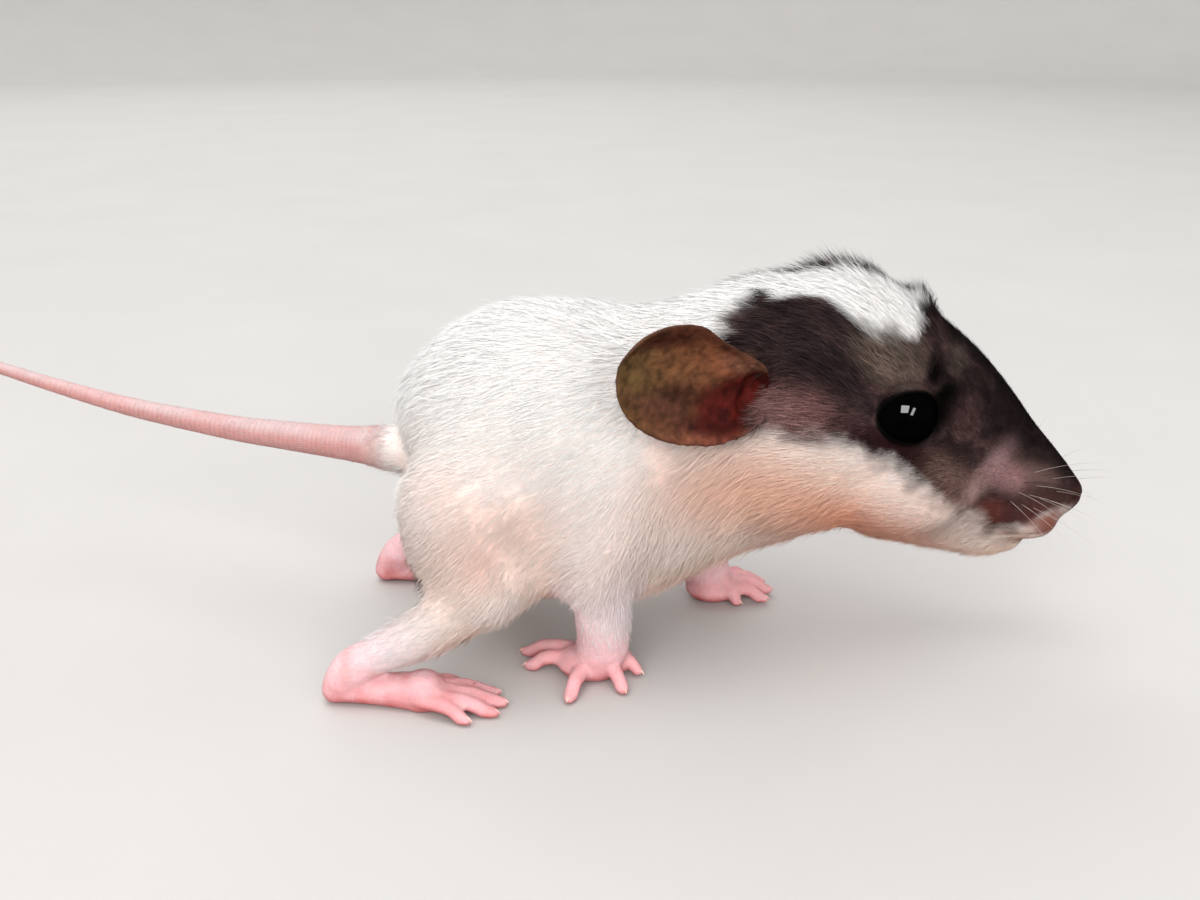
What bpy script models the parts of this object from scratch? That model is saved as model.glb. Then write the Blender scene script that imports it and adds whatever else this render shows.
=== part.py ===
# A young pet rat, life size, standing still and leaning forward.
# X runs forward along the body, Y to the animal's left, Z up; the soles stand on Z = 0.
# Shapes are worked out in millimetres and written in metres.
import math

import bmesh
import bpy
import numpy as np
from mathutils import Matrix, Vector

for old in list(bpy.data.objects):
    bpy.data.objects.remove(old, do_unlink=True)

# ---------------------------------------------------------------- sizes, mm
GAP = 0.3               # between neighbouring solids
NOSE = (48.9, 0.0, 16.4)    # tip of the nose
HEAD_TILT = 25.0        # how far the muzzle points down, degrees
EYE_R = 3.05            # eyeball
EYE_S, EYE_V, EYE_Y = 23.3, 1.0, 7.2   # eyeball centre in the head's own axes
EAR_LONG, EAR_WIDE, EAR_THICK = 16.0, 11.3, 0.85
SOLE = 0.0              # level of every sole
WRIST_CUT = 4.0         # where forearm ends and paw begins
ANKLE_X = -21.6         # where shank ends and hind foot begins
INSTEP = 3.1            # top of the hind foot in front of that

tilt = math.radians(HEAD_TILT)
AX = np.array([math.cos(tilt), 0.0, -math.sin(tilt)])   # along the muzzle, forward
AV = np.array([math.sin(tilt), 0.0, math.cos(tilt)])    # up, square to it
AY = np.array([0.0, 1.0, 0.0])


def head_point(s, v, y):
    """Point s behind the nose tip, v above it, y to the left, in the head's axes."""
    return np.array(NOSE) - s * AX + v * AV + y * AY


# ---------------------------------------------------------------- form makers
def power(c, p):
    return math.copysign(abs(c) ** (2.0 / p), c)


def egg(centre, side, up, half, top, bottom, p=2.2, n=28):
    """One closed section: half wide each way, top above and bottom below the widest level."""
    ring = []
    for i in range(n):
        t = 2 * math.pi * i / n
        a, b = power(math.cos(t), p), power(math.sin(t), p)
        ring.append(centre + side * (half * a) + up * ((top if b > 0 else bottom) * b))
    return ring


def skin_over(bm, rings):
    """Faces between successive sections, with both ends closed."""
    rows = [[bm.verts.new(tuple(p)) for p in ring] for ring in rings]
    for a, b in zip(rows, rows[1:]):
        for i in range(len(a)):
            j = (i + 1) % len(a)
            bm.faces.new((a[i], a[j], b[j], b[i]))
    bm.faces.new(list(reversed(rows[0])))
    bm.faces.new(rows[-1])


def smooth_table(table, steps):
    """Stations between the given ones, on a smooth curve through them."""
    rows = [np.array(r, float) for r in table]
    rows = [2 * rows[0] - rows[1]] + rows + [2 * rows[-1] - rows[-2]]
    out = []
    for k in range(1, len(rows) - 2):
        p0, p1, p2, p3 = rows[k - 1:k + 3]
        for i in range(steps):
            t = i / steps
            out.append(0.5 * (2 * p1 + (p2 - p0) * t + (2 * p0 - 5 * p1 + 4 * p2 - p3) * t * t
                              + (3 * p1 - p0 - 3 * p2 + p3) * t ** 3))
    out.append(rows[-2])
    return out


def ball(bm, centre, radii, axes=None, n=20, m=12):
    """Ellipsoid; axes are three rows giving its own directions."""
    axes = np.eye(3) if axes is None else np.array(axes)
    rings = []
    for j in range(1, m):
        u = math.pi * j / m
        rings.append([np.array(centre) + axes[0] * radii[0] * math.cos(u)
                      + axes[1] * radii[1] * math.sin(u) * math.cos(2 * math.pi * i / n)
                      + axes[2] * radii[2] * math.sin(u) * math.sin(2 * math.pi * i / n)
                      for i in range(n)])
    rows = [[bm.verts.new(tuple(p)) for p in ring] for ring in rings]
    for a, b in zip(rows, rows[1:]):
        for i in range(n):
            bm.faces.new((a[i], a[(i + 1) % n], b[(i + 1) % n], b[i]))
    first = bm.verts.new(tuple(np.array(centre) + axes[0] * radii[0]))
    last = bm.verts.new(tuple(np.array(centre) - axes[0] * radii[0]))
    for i in range(n):
        bm.faces.new((rows[0][(i + 1) % n], rows[0][i], first))
        bm.faces.new((rows[-1][i], rows[-1][(i + 1) % n], last))


def tube_rings(path, n=14, steps=4, flat=1.0):
    """Round sections along a path of (x, y, z, radius); flat squashes them in height."""
    pts = smooth_table(path, steps)
    xyz = np.array([p[:3] for p in pts])
    rings = []
    side = None
    for k, p in enumerate(pts):
        d = xyz[min(k + 1, len(pts) - 1)] - xyz[max(k - 1, 0)]
        d = d / np.linalg.norm(d)
        ref = np.array([0.0, 0.0, 1.0]) if abs(d[2]) < 0.8 else np.array([1.0, 0.0, 0.0])
        s = np.cross(ref, d)
        s /= np.linalg.norm(s)
        if side is not None and np.dot(s, side) < 0:
            s = -s
        if side is not None:
            s = side - d * np.dot(side, d)
            s /= np.linalg.norm(s)
        side = s
        u = np.cross(d, s)
        r = p[3]
        rings.append([xyz[k] + s * r * math.cos(2 * math.pi * i / n)
                      + u * r * flat * math.sin(2 * math.pi * i / n) for i in range(n)])
    return rings


def tube(bm, path, n=14, steps=4, flat=1.0):
    skin_over(bm, tube_rings(path, n, steps, flat))
    ball(bm, path[0][:3], [path[0][3]] * 3, n=n, m=8)
    ball(bm, path[-1][:3], [path[-1][3]] * 3, n=n, m=8)


# ---------------------------------------------------------------- mesh tools
def to_object(bm, name):
    mesh = bpy.data.meshes.new(name)
    bmesh.ops.recalc_face_normals(bm, faces=bm.faces)
    bm.to_mesh(mesh)
    bm.free()
    obj = bpy.data.objects.new(name, mesh)
    bpy.context.scene.collection.objects.link(obj)
    return obj


def settle(obj):
    """Replaces the object's mesh by what its modifiers make of it."""
    graph = bpy.context.evaluated_depsgraph_get()
    graph.update()
    mesh = bpy.data.meshes.new_from_object(obj.evaluated_get(graph))
    obj.modifiers.clear()
    old = obj.data
    obj.data = mesh
    bpy.data.meshes.remove(old)
    return obj


def fuse(obj, voxel, rounds, triangles):
    """Makes one closed skin of overlapping forms, eases their joins and thins the mesh."""
    m = obj.modifiers.new("one_skin", "REMESH")
    m.mode, m.voxel_size, m.adaptivity = "VOXEL", voxel, 0.0
    if rounds:
        m = obj.modifiers.new("ease", "SMOOTH")
        m.factor, m.iterations = 0.5, rounds
    settle(obj)
    faces = sum(len(p.vertices) - 2 for p in obj.data.polygons)
    if triangles and faces > triangles:
        m = obj.modifiers.new("thin", "DECIMATE")
        m.ratio = triangles / faces
        settle(obj)
    return obj


def twin(obj, name):
    other = bpy.data.objects.new(name, obj.data.copy())
    bpy.context.scene.collection.objects.link(other)
    return other


def drop(obj):
    mesh = obj.data
    bpy.data.objects.remove(obj, do_unlink=True)
    bpy.data.meshes.remove(mesh)


def cut(obj, cutter, how):
    m = obj.modifiers.new("cut", "BOOLEAN")
    m.operation, m.solver, m.object = how, "EXACT", cutter
    settle(obj)
    return obj


def block(lo, hi, name="block"):
    bm = bmesh.new()
    bmesh.ops.create_cube(bm, size=1.0)
    lo, hi = Vector(lo), Vector(hi)
    for v in bm.verts:
        v.co = Vector(((v.co[i] + 0.5) * (hi[i] - lo[i]) + lo[i]) for i in range(3))
    return to_object(bm, name)


def half_space(point, normal, size=90.0, name="half"):
    """A big block whose face passes through point; it lies on the normal's side."""
    n = Vector(normal).normalized()
    bm = bmesh.new()
    bmesh.ops.create_cube(bm, size=size)
    turn = n.to_track_quat("Z", "Y").to_matrix().to_4x4()
    bm.transform(Matrix.Translation(Vector(point) + n * (size / 2)) @ turn)
    return to_object(bm, name)


def keep_side(obj, point, normal, name="half"):
    cutter = half_space(point, normal)
    cut(obj, cutter, "INTERSECT")
    drop(cutter)
    return obj


def take_away(obj, cutter):
    return cut(obj, cutter, "DIFFERENCE")


def swell(obj, amount, name):
    """A copy of obj grown outward along its normals."""
    other = twin(obj, name)
    bm = bmesh.new()
    bm.from_mesh(other.data)
    bm.normal_update()
    shift = [v.normal * (amount * min(v.calc_shell_factor(), 1.6)) for v in bm.verts]
    for v, d in zip(bm.verts, shift):
        v.co += d
    bm.to_mesh(other.data)
    bm.free()
    return other


def main_piece(obj):
    """Keeps the biggest closed piece, as triangles, with stray points merged."""
    bm = bmesh.new()
    bm.from_mesh(obj.data)
    bmesh.ops.remove_doubles(bm, verts=bm.verts, dist=0.0002)
    bmesh.ops.dissolve_degenerate(bm, edges=bm.edges, dist=0.0002)
    bmesh.ops.triangulate(bm, faces=bm.faces)
    seen, groups = set(), []
    for f in bm.faces:
        if f in seen:
            continue
        stack, group = [f], []
        seen.add(f)
        while stack:
            g = stack.pop()
            group.append(g)
            for e in g.edges:
                for h in e.link_faces:
                    if h not in seen:
                        seen.add(h)
                        stack.append(h)
        groups.append(group)
    groups.sort(key=len)
    for group in groups[:-1]:
        bmesh.ops.delete(bm, geom=group, context="FACES")
    bmesh.ops.delete(bm, geom=[v for v in bm.verts if not v.link_faces], context="VERTS")
    bmesh.ops.recalc_face_normals(bm, faces=bm.faces)
    bm.to_mesh(obj.data)
    bm.free()
    return obj


# ---------------------------------------------------------------- trunk, neck and head
def trunk_form(bm):
    # x, back line, belly line, half width, height of the widest level (0 belly, 1 back)
    stations = [
        (-20.4, 26.9, 24.4, 1.3, 0.50),
        (-20.0, 28.1, 22.6, 3.9, 0.50),
        (-19.0, 29.8, 19.4, 6.4, 0.49),
        (-17.2, 31.9, 14.2, 9.2, 0.47),
        (-14.5, 34.0, 9.1, 11.8, 0.45),
        (-11.5, 35.5, 7.1, 13.2, 0.44),
        (-8.0, 36.4, 6.4, 13.7, 0.43),
        (-4.0, 36.5, 5.9, 13.4, 0.42),
        (0.0, 36.2, 5.7, 12.6, 0.43),
        (4.0, 36.0, 6.3, 11.6, 0.44),
        (8.0, 36.8, 7.6, 10.7, 0.46),
        (12.0, 38.2, 9.3, 10.2, 0.50),
        (16.0, 39.2, 10.5, 9.9, 0.54),
        (20.0, 39.2, 11.4, 9.2, 0.55),
        (23.0, 36.8, 13.0, 7.0, 0.55),
    ]
    rings = []
    for x, top, low, half, level in smooth_table(stations, 3):
        mid = low + (top - low) * level
        rings.append(egg(np.array([x, 0.0, mid]), AY, np.array([0.0, 0.0, 1.0]),
                         max(half, 0.6), top - mid, mid - low, p=2.15))
    skin_over(bm, rings)
    for side in (-1, 1):
        # haunch over the thigh, and the shoulder
        ball(bm, (-10.8, side * 9.3, 17.2), (8.8, 5.6, 10.4))
        ball(bm, (2.2, side * 7.7, 19.5), (6.6, 5.2, 9.6))


def head_form(bm):
    # s behind the nose, top line, lower line, half width, height of the widest level
    stations = [
        (-0.35, -0.35, -1.3, 0.5, 0.50),
        (0.15, 0.55, -2.3, 1.35, 0.48),
        (1.2, 1.15, -3.9, 2.1, 0.44),
        (3.0, 2.15, -5.6, 2.9, 0.40),
        (5.2, 3.25, -7.1, 3.6, 0.38),
        (8.0, 4.60, -8.6, 4.3, 0.38),
        (11.2, 6.25, -10.2, 5.3, 0.40),
        (14.4, 7.75, -11.4, 6.6, 0.42),
        (17.6, 9.00, -12.4, 7.9, 0.43),
        (20.8, 10.05, -13.9, 9.0, 0.43),
        (24.4, 10.95, -16.2, 9.9, 0.44),
        (28.0, 11.50, -18.2, 10.4, 0.46),
        (31.6, 11.15, -19.3, 10.3, 0.48),
        (35.2, 9.60, -19.4, 9.7, 0.50),
        (38.4, 6.60, -17.0, 8.0, 0.50),
    ]
    rings = []
    for s, top, low, half, level in smooth_table(stations, 3):
        mid = low + (top - low) * level
        rings.append(egg(head_point(s, mid, 0.0), AY, AV, max(half, 0.4), top - mid, mid - low, p=2.0))
    skin_over(bm, rings)
    # lower jaw, a slim wedge under the muzzle
    jaw = [
        (2.6, -7.0, -8.3, 0.8),
        (3.4, -6.3, -9.1, 1.5),
        (5.4, -6.0, -10.1, 2.3),
        (8.2, -6.0, -11.2, 3.1),
        (11.4, -6.0, -12.0, 4.1),
        (15.0, -6.0, -12.7, 5.4),
        (19.0, -7.0, -14.1, 6.8),
    ]
    rings = []
    for s, top, low, half in smooth_table(jaw, 3):
        mid = 0.5 * (top + low)
        rings.append(egg(head_point(s, mid, 0.0), AY, AV, half, top - mid, mid - low))
    skin_over(bm, rings)
    axes = (AX, AY, AV)
    for side in (-1, 1):
        # whisker pad, cheek, brow and the fullness under the eye
        ball(bm, head_point(5.6, -4.3, side * 2.3), (4.3, 2.1, 2.7), axes)
        ball(bm, head_point(19.5, -5.6, side * 5.6), (7.6, 4.0, 5.8), axes)
        ball(bm, head_point(24.5, 4.0, side * 6.2), (4.8, 2.7, 3.2), axes)
        ball(bm, head_point(30.0, -7.5, side * 6.4), (7.0, 4.4, 7.6), axes)


# ---------------------------------------------------------------- legs
NEAR, FAR = -1, 1       # the animal's right side and its left side

FORELEGS = {
    "right": {"shoulder": (1.6, -7.6, 20.5), "elbow": (-0.6, -9.3, 13.4), "mid": (0.1, -9.0, 9.0),
              "wrist": (0.3, -8.7, 4.4)},
    "left": {"shoulder": (4.8, 7.4, 19.5), "elbow": (5.8, 9.2, 12.9), "mid": (8.9, 9.1, 8.6),
             "wrist": (11.6, 8.8, 4.4)},
}
HINDLEGS = {
    "right": {"hip": (-13.2, -9.2, 18.8), "knee": (-10.6, -12.9, 12.2), "shank": (-16.6, -13.2, 7.6),
              "ankle": (-23.0, -13.1, 3.9)},
    "left": {"hip": (-13.2, 9.2, 18.8), "knee": (-9.8, 12.9, 12.0), "shank": (-15.8, 13.2, 7.5),
             "ankle": (-22.2, 13.1, 3.9)},
}


def foreleg_form(bm, side):
    leg = FORELEGS[side]
    tube(bm, [(*leg["shoulder"], 5.6), (*leg["elbow"], 4.5), (*leg["mid"], 3.25), (*leg["wrist"], 2.95),
              (leg["wrist"][0], leg["wrist"][1], leg["wrist"][2] - 1.6, 2.7)], n=16)


def hindleg_form(bm, side):
    leg = HINDLEGS[side]
    tube(bm, [(*leg["hip"], 6.6), (*leg["knee"], 4.3)], n=16)
    tube(bm, [(*leg["knee"], 4.1), (*leg["shank"], 2.9), (*leg["ankle"], 2.0)], n=16)


def digit(bm, base, tip, fat, arch=0.5):
    """One toe: arched, blunt, its tip resting on the floor."""
    base, tip = np.array(base, float), np.array(tip, float)
    mid = 0.45 * base + 0.55 * tip
    mid[2] = max(mid[2], 0.9) + arch
    near_tip = 0.15 * base + 0.85 * tip
    near_tip[2] = tip[2] + 0.15
    tube(bm, [(*base, fat * 1.12), (*mid, fat * 0.92), (*near_tip, fat * 0.86), (*tip, fat * 0.66)], n=10, steps=3)


def forepaw_right_form(bm):
    # turned outward, the toes fanned from the side to the back
    x, y, z = FORELEGS["right"]["wrist"]
    tube(bm, [(x, y, z + 2.4, 3.0), (x, y + 0.1, z - 0.4, 2.75), (x - 0.5, y + 0.3, 2.0, 2.45)], n=16)
    ball(bm, (-1.0, -7.9, 1.3), (3.3, 2.9, 1.6))
    ball(bm, (1.4, -7.4, 1.3), (1.9, 1.9, 1.5))
    digit(bm, (-3.0, -5.6, 1.5), (-7.7, -4.7, 0.55), 0.86)
    digit(bm, (-3.1, -7.6, 1.5), (-7.2, -7.5, 0.55), 0.90)
    digit(bm, (-1.6, -9.6, 1.5), (-3.0, -13.8, 0.55), 0.92)
    digit(bm, (0.8, -9.3, 1.5), (2.3, -12.2, 0.55), 0.88)
    digit(bm, (2.3, -7.8, 1.7), (3.9, -8.9, 0.65), 0.74, arch=0.3)


def forepaw_left_form(bm):
    # set down flat, toes forward
    x, y, z = FORELEGS["left"]["wrist"]
    tube(bm, [(x - 1.0, y, z + 2.4, 3.0), (x, y, z - 0.4, 2.75), (x + 0.6, y, 2.0, 2.45)], n=16)
    ball(bm, (x + 1.0, y, 1.3), (3.1, 2.8, 1.6))
    for base_y, tip_x, tip_y, fat in ((-1.7, 3.6, -2.7, 0.76), (-0.9, 6.6, -1.7, 0.88), (0.3, 7.3, 0.5, 0.92),
                                      (1.3, 6.7, 2.5, 0.90), (1.9, 5.0, 4.2, 0.84)):
        digit(bm, (x + 2.4, y + base_y, 1.5), (x + tip_x, y + tip_y, 0.55), fat)


def hindfoot_form(bm, side):
    # long foot, heel down, five toes forward
    s = -1 if side == "right" else 1
    x, y, z = HINDLEGS[side]["ankle"]
    kx, ky, kz = HINDLEGS[side]["shank"]
    tube(bm, [(x + 4.2, y, z + 2.2, 2.75), (x, y, z, 2.1), (x - 1.6, y, 2.3, 1.75), (x - 2.2, y, 1.5, 1.4)], n=14)
    tube(bm, [(x - 2.3, y, 1.25, 1.35), (x + 2.0, y + 0.15 * s, 1.35, 1.75), (x + 6.2, y + 0.6 * s, 1.35, 2.2)],
         n=14, flat=0.85)
    for base_y, tip_x, tip_y, fat in ((-1.5, 10.0, -2.4, 0.82), (-0.7, 13.0, -1.1, 0.92), (0.2, 13.8, 0.7, 0.94),
                                      (1.1, 13.1, 2.5, 0.92), (1.8, 10.7, 3.9, 0.84)):
        digit(bm, (x + 6.4, y + (0.6 + base_y) * s, 1.4), (x + tip_x, y + (0.6 + tip_y) * s, 0.55), fat, arch=0.45)


# ---------------------------------------------------------------- tail
TAIL = [
    (-17.6, 0.0, 20.6, 2.80),
    (-20.6, 0.1, 20.9, 2.35),
    (-25.0, 0.7, 21.2, 1.90),
    (-30.5, 2.0, 21.4, 1.62),
    (-37.0, 4.4, 21.4, 1.42),
    (-44.0, 7.6, 21.5, 1.26),
    (-51.0, 10.6, 21.9, 1.11),
    (-58.5, 13.5, 22.9, 0.95),
    (-66.5, 16.0, 24.5, 0.79),
    (-74.0, 17.9, 26.5, 0.64),
    (-79.6, 19.0, 28.2, 0.50),
]


def tail_form(bm, first, last, n=10):
    """The stretch of tail between two shares of its stations."""
    rings = tube_rings(TAIL, n=n, steps=3)
    skin_over(bm, rings[first:last])


# ---------------------------------------------------------------- ears
def ear_frame(side):
    """Root, long direction, across direction and outward normal of the ear."""
    sag = 0.0 if side == NEAR else 4.2     # the far ear hangs a little lower
    root = np.array([15.5, side * 9.35, 29.8 - 0.6 * sag])
    tip = np.array([0.9, side * (15.4 if side == NEAR else 13.9), 33.6 - 1.4 * sag])
    along = tip - root
    along /= np.linalg.norm(along)
    up = np.array([0.0, -side * -0.10, 1.0])
    across = up - along * np.dot(up, along)
    across /= np.linalg.norm(across)
    normal = np.cross(along, across)
    if normal[1] * side < 0:
        normal = -normal
    return root, along, across, normal


def ear_edge(u):
    """Half width of the ear at share u of its length: narrow at the root, broad and round beyond."""
    return math.sqrt(max(0.0, 1 - ((u - 0.50) / 0.50) ** 2)) ** 0.92 * (0.88 + 0.20 * u)


def ear_form(bm, side, rows=10, cols=10):
    root, along, across, normal = ear_frame(side)
    front, back = [], []
    for i in range(rows):
        u = 0.012 + 0.976 * (0.5 - 0.5 * math.cos(math.pi * i / (rows - 1)))
        half = ear_edge(u) * EAR_WIDE / 2
        f, b = [], []
        for j in range(cols + 1):
            w = -1 + 2 * j / cols
            w = math.copysign(abs(w) ** 0.85, w)
            # the bowl is deep near the root and opens toward the tip
            bowl = 2.0 * (1 - u) ** 0.6 * (1 - w * w) + 0.9 * (1 - w * w) * u
            lean = 0.9 * w * u
            p = root + along * (u * EAR_LONG) + across * (w * half + 0.4 * u) + normal * (1.4 - bowl + lean * 0.3)
            thin = EAR_THICK * (0.80 + 0.5 * (1 - u))
            edge = 1 if j in (0, cols) or i in (0, rows - 1) else 0
            f.append(p)
            b.append(p - normal * (thin * (0.62 if edge else 1.0)))
        front.append(f)
        back.append(b)
    fv = [[bm.verts.new(tuple(p)) for p in r] for r in front]
    bv = [[bm.verts.new(tuple(p)) for p in r] for r in back]
    for i in range(rows - 1):
        for j in range(cols):
            bm.faces.new((fv[i][j], fv[i][j + 1], fv[i + 1][j + 1], fv[i + 1][j]))
            bm.faces.new((bv[i][j], bv[i + 1][j], bv[i + 1][j + 1], bv[i][j + 1]))
        bm.faces.new((fv[i][0], fv[i + 1][0], bv[i + 1][0], bv[i][0]))
        bm.faces.new((fv[i][cols], bv[i][cols], bv[i + 1][cols], fv[i + 1][cols]))
    for j in range(cols):
        bm.faces.new((fv[0][j], bv[0][j], bv[0][j + 1], fv[0][j + 1]))
        bm.faces.new((fv[-1][j], fv[-1][j + 1], bv[-1][j + 1], bv[-1][j]))


# ---------------------------------------------------------------- finish of each solid
def colour(name, rgb, rough):
    mat = bpy.data.materials.new(name)
    mat.use_nodes = True
    node = mat.node_tree.nodes["Principled BSDF"]
    node.inputs["Base Color"].default_value = (*rgb, 1.0)
    node.inputs["Roughness"].default_value = rough
    node.inputs["Metallic"].default_value = 0.0
    return mat


LOOKS = {
    "white_coat": ((0.84, 0.80, 0.77), 0.85),
    "dark_mask": ((0.07, 0.05, 0.05), 0.80),
    "cream_coat": ((0.80, 0.70, 0.62), 0.85),
    "ear_skin": ((0.20, 0.11, 0.08), 0.60),
    "eye_black": ((0.006, 0.006, 0.007), 0.06),
    "pink_skin": ((0.82, 0.52, 0.52), 0.50),
    "tail_skin": ((0.80, 0.58, 0.56), 0.55),
}
MATS = {k: colour(k, *v) for k, v in LOOKS.items()}
DONE = []


def finish(obj, name, look):
    main_piece(obj)
    obj.name = name
    obj.data.name = name
    obj.data.materials.clear()
    obj.data.materials.append(MATS[look])
    DONE.append(obj)
    return obj


# ---------------------------------------------------------------- the whole body as one skin
bm = bmesh.new()
trunk_form(bm)
head_form(bm)
for side in ("right", "left"):
    foreleg_form(bm, side)
    hindleg_form(bm, side)
flesh = fuse(to_object(bm, "flesh"), 0.60, 8, 2700)
outer = swell(flesh, GAP, "outer")      # for pieces that butt against the body

# eyes sit in sockets
eyes = {}
for name, side in (("eye_right", -1), ("eye_left", 1)):
    centre = head_point(EYE_S, EYE_V, side * EYE_Y)
    bm = bmesh.new()
    ball(bm, centre, (EYE_R,) * 3, axes=((0, side, 0), (1, 0, 0), (0, 0, 1)), n=14, m=8)
    eyes[name] = to_object(bm, name)
    bm = bmesh.new()
    ball(bm, centre, (EYE_R + GAP,) * 3, axes=((0, side, 0), (1, 0, 0), (0, 0, 1)), n=16, m=10)
    socket = to_object(bm, "socket")
    take_away(flesh, socket)
    drop(socket)

# legs are parted from the trunk
# shoulder: centre and radii of the rounded part, then the upright block round the forearm
LEG_ZONES = {
    "foreleg_right": ((0.6, -12.6, 16.6), (6.2, 6.0, 9.2), (-4.6, -16.0, -5.0), (5.2, -5.7, 11.0)),
    "foreleg_left": ((4.6, 12.6, 15.8), (6.2, 6.0, 9.0), (1.8, 5.8, -5.0), (17.5, 16.0, 11.4)),
}
legs = {}
for name, (centre, radii, lo, hi) in LEG_ZONES.items():
    for grow, job in ((0.0, "keep"), (GAP, "take")):
        bm = bmesh.new()
        ball(bm, centre, [r + grow for r in radii], n=16, m=10)
        zone = to_object(bm, "zone")
        low = block([c - grow for c in lo], [c + grow for c in hi])
        cut(zone, low, "UNION")
        drop(low)
        if job == "keep":
            legs[name] = twin(flesh, name)
            cut(legs[name], zone, "INTERSECT")
            keep_side(legs[name], (0.0, 0.0, WRIST_CUT + GAP / 2), (0.0, 0.0, 1.0))
        else:
            take_away(flesh, zone)
        drop(zone)
for name, side in (("hindleg_right", -1), ("hindleg_left", 1)):
    for grow, job in ((0.0, "keep"), (GAP, "take")):
        bm = bmesh.new()
        ball(bm, (-12.2, side * 15.2, 15.4), (9.6 + grow, 7.4 + grow, 11.4 + grow), n=18, m=11)
        zone = to_object(bm, "zone")
        inner, outside = side * (8.2 - grow), side * 22.0
        low = block((-34.0, min(inner, outside), -5.0), (-5.4 + grow, max(inner, outside), 9.2 + grow))
        cut(zone, low, "UNION")
        drop(low)
        if job == "keep":
            legs[name] = twin(flesh, name)
            cut(legs[name], zone, "INTERSECT")
        else:
            take_away(flesh, zone)
        drop(zone)

# the head and neck are parted by two slanting cuts
CUT_HEAD = (np.array([14.0, 0.0, 25.0]), np.array([0.985, 0.0, 0.174]))
CUT_NECK = (np.array([5.0, 0.0, 25.0]), np.array([0.995, 0.0, 0.10]))
head = twin(flesh, "head")
keep_side(head, CUT_HEAD[0] + CUT_HEAD[1] * GAP / 2, CUT_HEAD[1])
neck = twin(flesh, "neck")
keep_side(neck, CUT_HEAD[0] - CUT_HEAD[1] * GAP / 2, -CUT_HEAD[1])
keep_side(neck, CUT_NECK[0] + CUT_NECK[1] * GAP / 2, CUT_NECK[1])
trunk = twin(flesh, "trunk")
keep_side(trunk, CUT_NECK[0] - CUT_NECK[1] * GAP / 2, -CUT_NECK[1])

finish(head, "head", "dark_mask")
finish(neck, "neck", "cream_coat")
finish(trunk, "trunk", "white_coat")
for name, obj in legs.items():
    if name.startswith("hind"):
        keep_side(obj, (ANKLE_X + GAP / 2, 0.0, 0.0), (1.0, 0.0, 0.0))
        keep_side(obj, (0.0, 0.0, INSTEP + GAP), (0.0, 0.0, 1.0))
    finish(obj, name, "white_coat")
for name, obj in eyes.items():
    finish(obj, name, "eye_black")

# paws, each cut flat at the sole
for name, form in (("forepaw_right", forepaw_right_form), ("forepaw_left", forepaw_left_form)):
    bm = bmesh.new()
    form(bm)
    paw = fuse(to_object(bm, name), 0.30, 3, 400)
    keep_side(paw, (0.0, 0.0, WRIST_CUT - GAP / 2), (0.0, 0.0, -1.0))
    keep_side(paw, (0.0, 0.0, SOLE), (0.0, 0.0, 1.0))
    finish(paw, name, "pink_skin")
for side in ("right", "left"):
    bm = bmesh.new()
    hindfoot_form(bm, side)
    foot = fuse(to_object(bm, "hindfoot_" + side), 0.32, 3, 430)
    low = block((-60.0, -30.0, -5.0), (ANKLE_X - GAP / 2, 30.0, 20.0))
    front = block((-60.0, -30.0, -5.0), (20.0, 30.0, INSTEP))
    cut(low, front, "UNION")
    drop(front)
    cut(foot, low, "INTERSECT")
    drop(low)
    keep_side(foot, (0.0, 0.0, SOLE), (0.0, 0.0, 1.0))
    finish(foot, "hindfoot_" + side, "pink_skin")

# ears and tail butt against the body
for name, side in (("ear_right", NEAR), ("ear_left", FAR)):
    bm = bmesh.new()
    ear_form(bm, side)
    ear = to_object(bm, name)
    take_away(ear, outer)
    finish(ear, name, "ear_skin")
ring_count = 3 * (len(TAIL) - 1) + 1
thirds = [0, 11, 21, ring_count - 1]
for k, name in enumerate(("tail_base", "tail_middle", "tail_tip")):
    bm = bmesh.new()
    tail_form(bm, thirds[k], thirds[k + 1] + 1)
    piece = to_object(bm, name)
    if k == 0:
        take_away(piece, outer)
    if k > 0:   # a thin cut at the front end of each later length
        a, b = np.array(tube_rings(TAIL, steps=3)[thirds[k]]).mean(0), np.array(tube_rings(TAIL, steps=3)[thirds[k] + 1]).mean(0)
        d = (b - a) / np.linalg.norm(b - a)
        keep_side(piece, a + d * GAP, d)
    finish(piece, name, "tail_skin")

drop(flesh)
drop(outer)

# the origin goes to the middle of the box, at the level of the soles
corners = np.array([v.co[:] for obj in DONE for v in obj.data.vertices])
middle = (corners.min(0) + corners.max(0)) / 2
for obj in DONE:
    obj.data.transform(Matrix.Translation((-middle[0], -middle[1], -corners[:, 2].min())))
    obj.data.transform(Matrix.Scale(0.001, 4))
    obj.data.shade_smooth()
    obj.data.set_sharp_from_angle(angle=math.radians(50))
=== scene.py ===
# Looks of a young pet rat, life size: skin, coat, eyes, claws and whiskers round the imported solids.
# Shapes are worked out in millimetres in the modelling frame of the solids (X forward, Y to the
# animal's left, Z up, soles on Z = 0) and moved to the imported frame, in metres, at the end.
import math

import bmesh
import bpy
import numpy as np
from mathutils import Matrix, Vector


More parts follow.
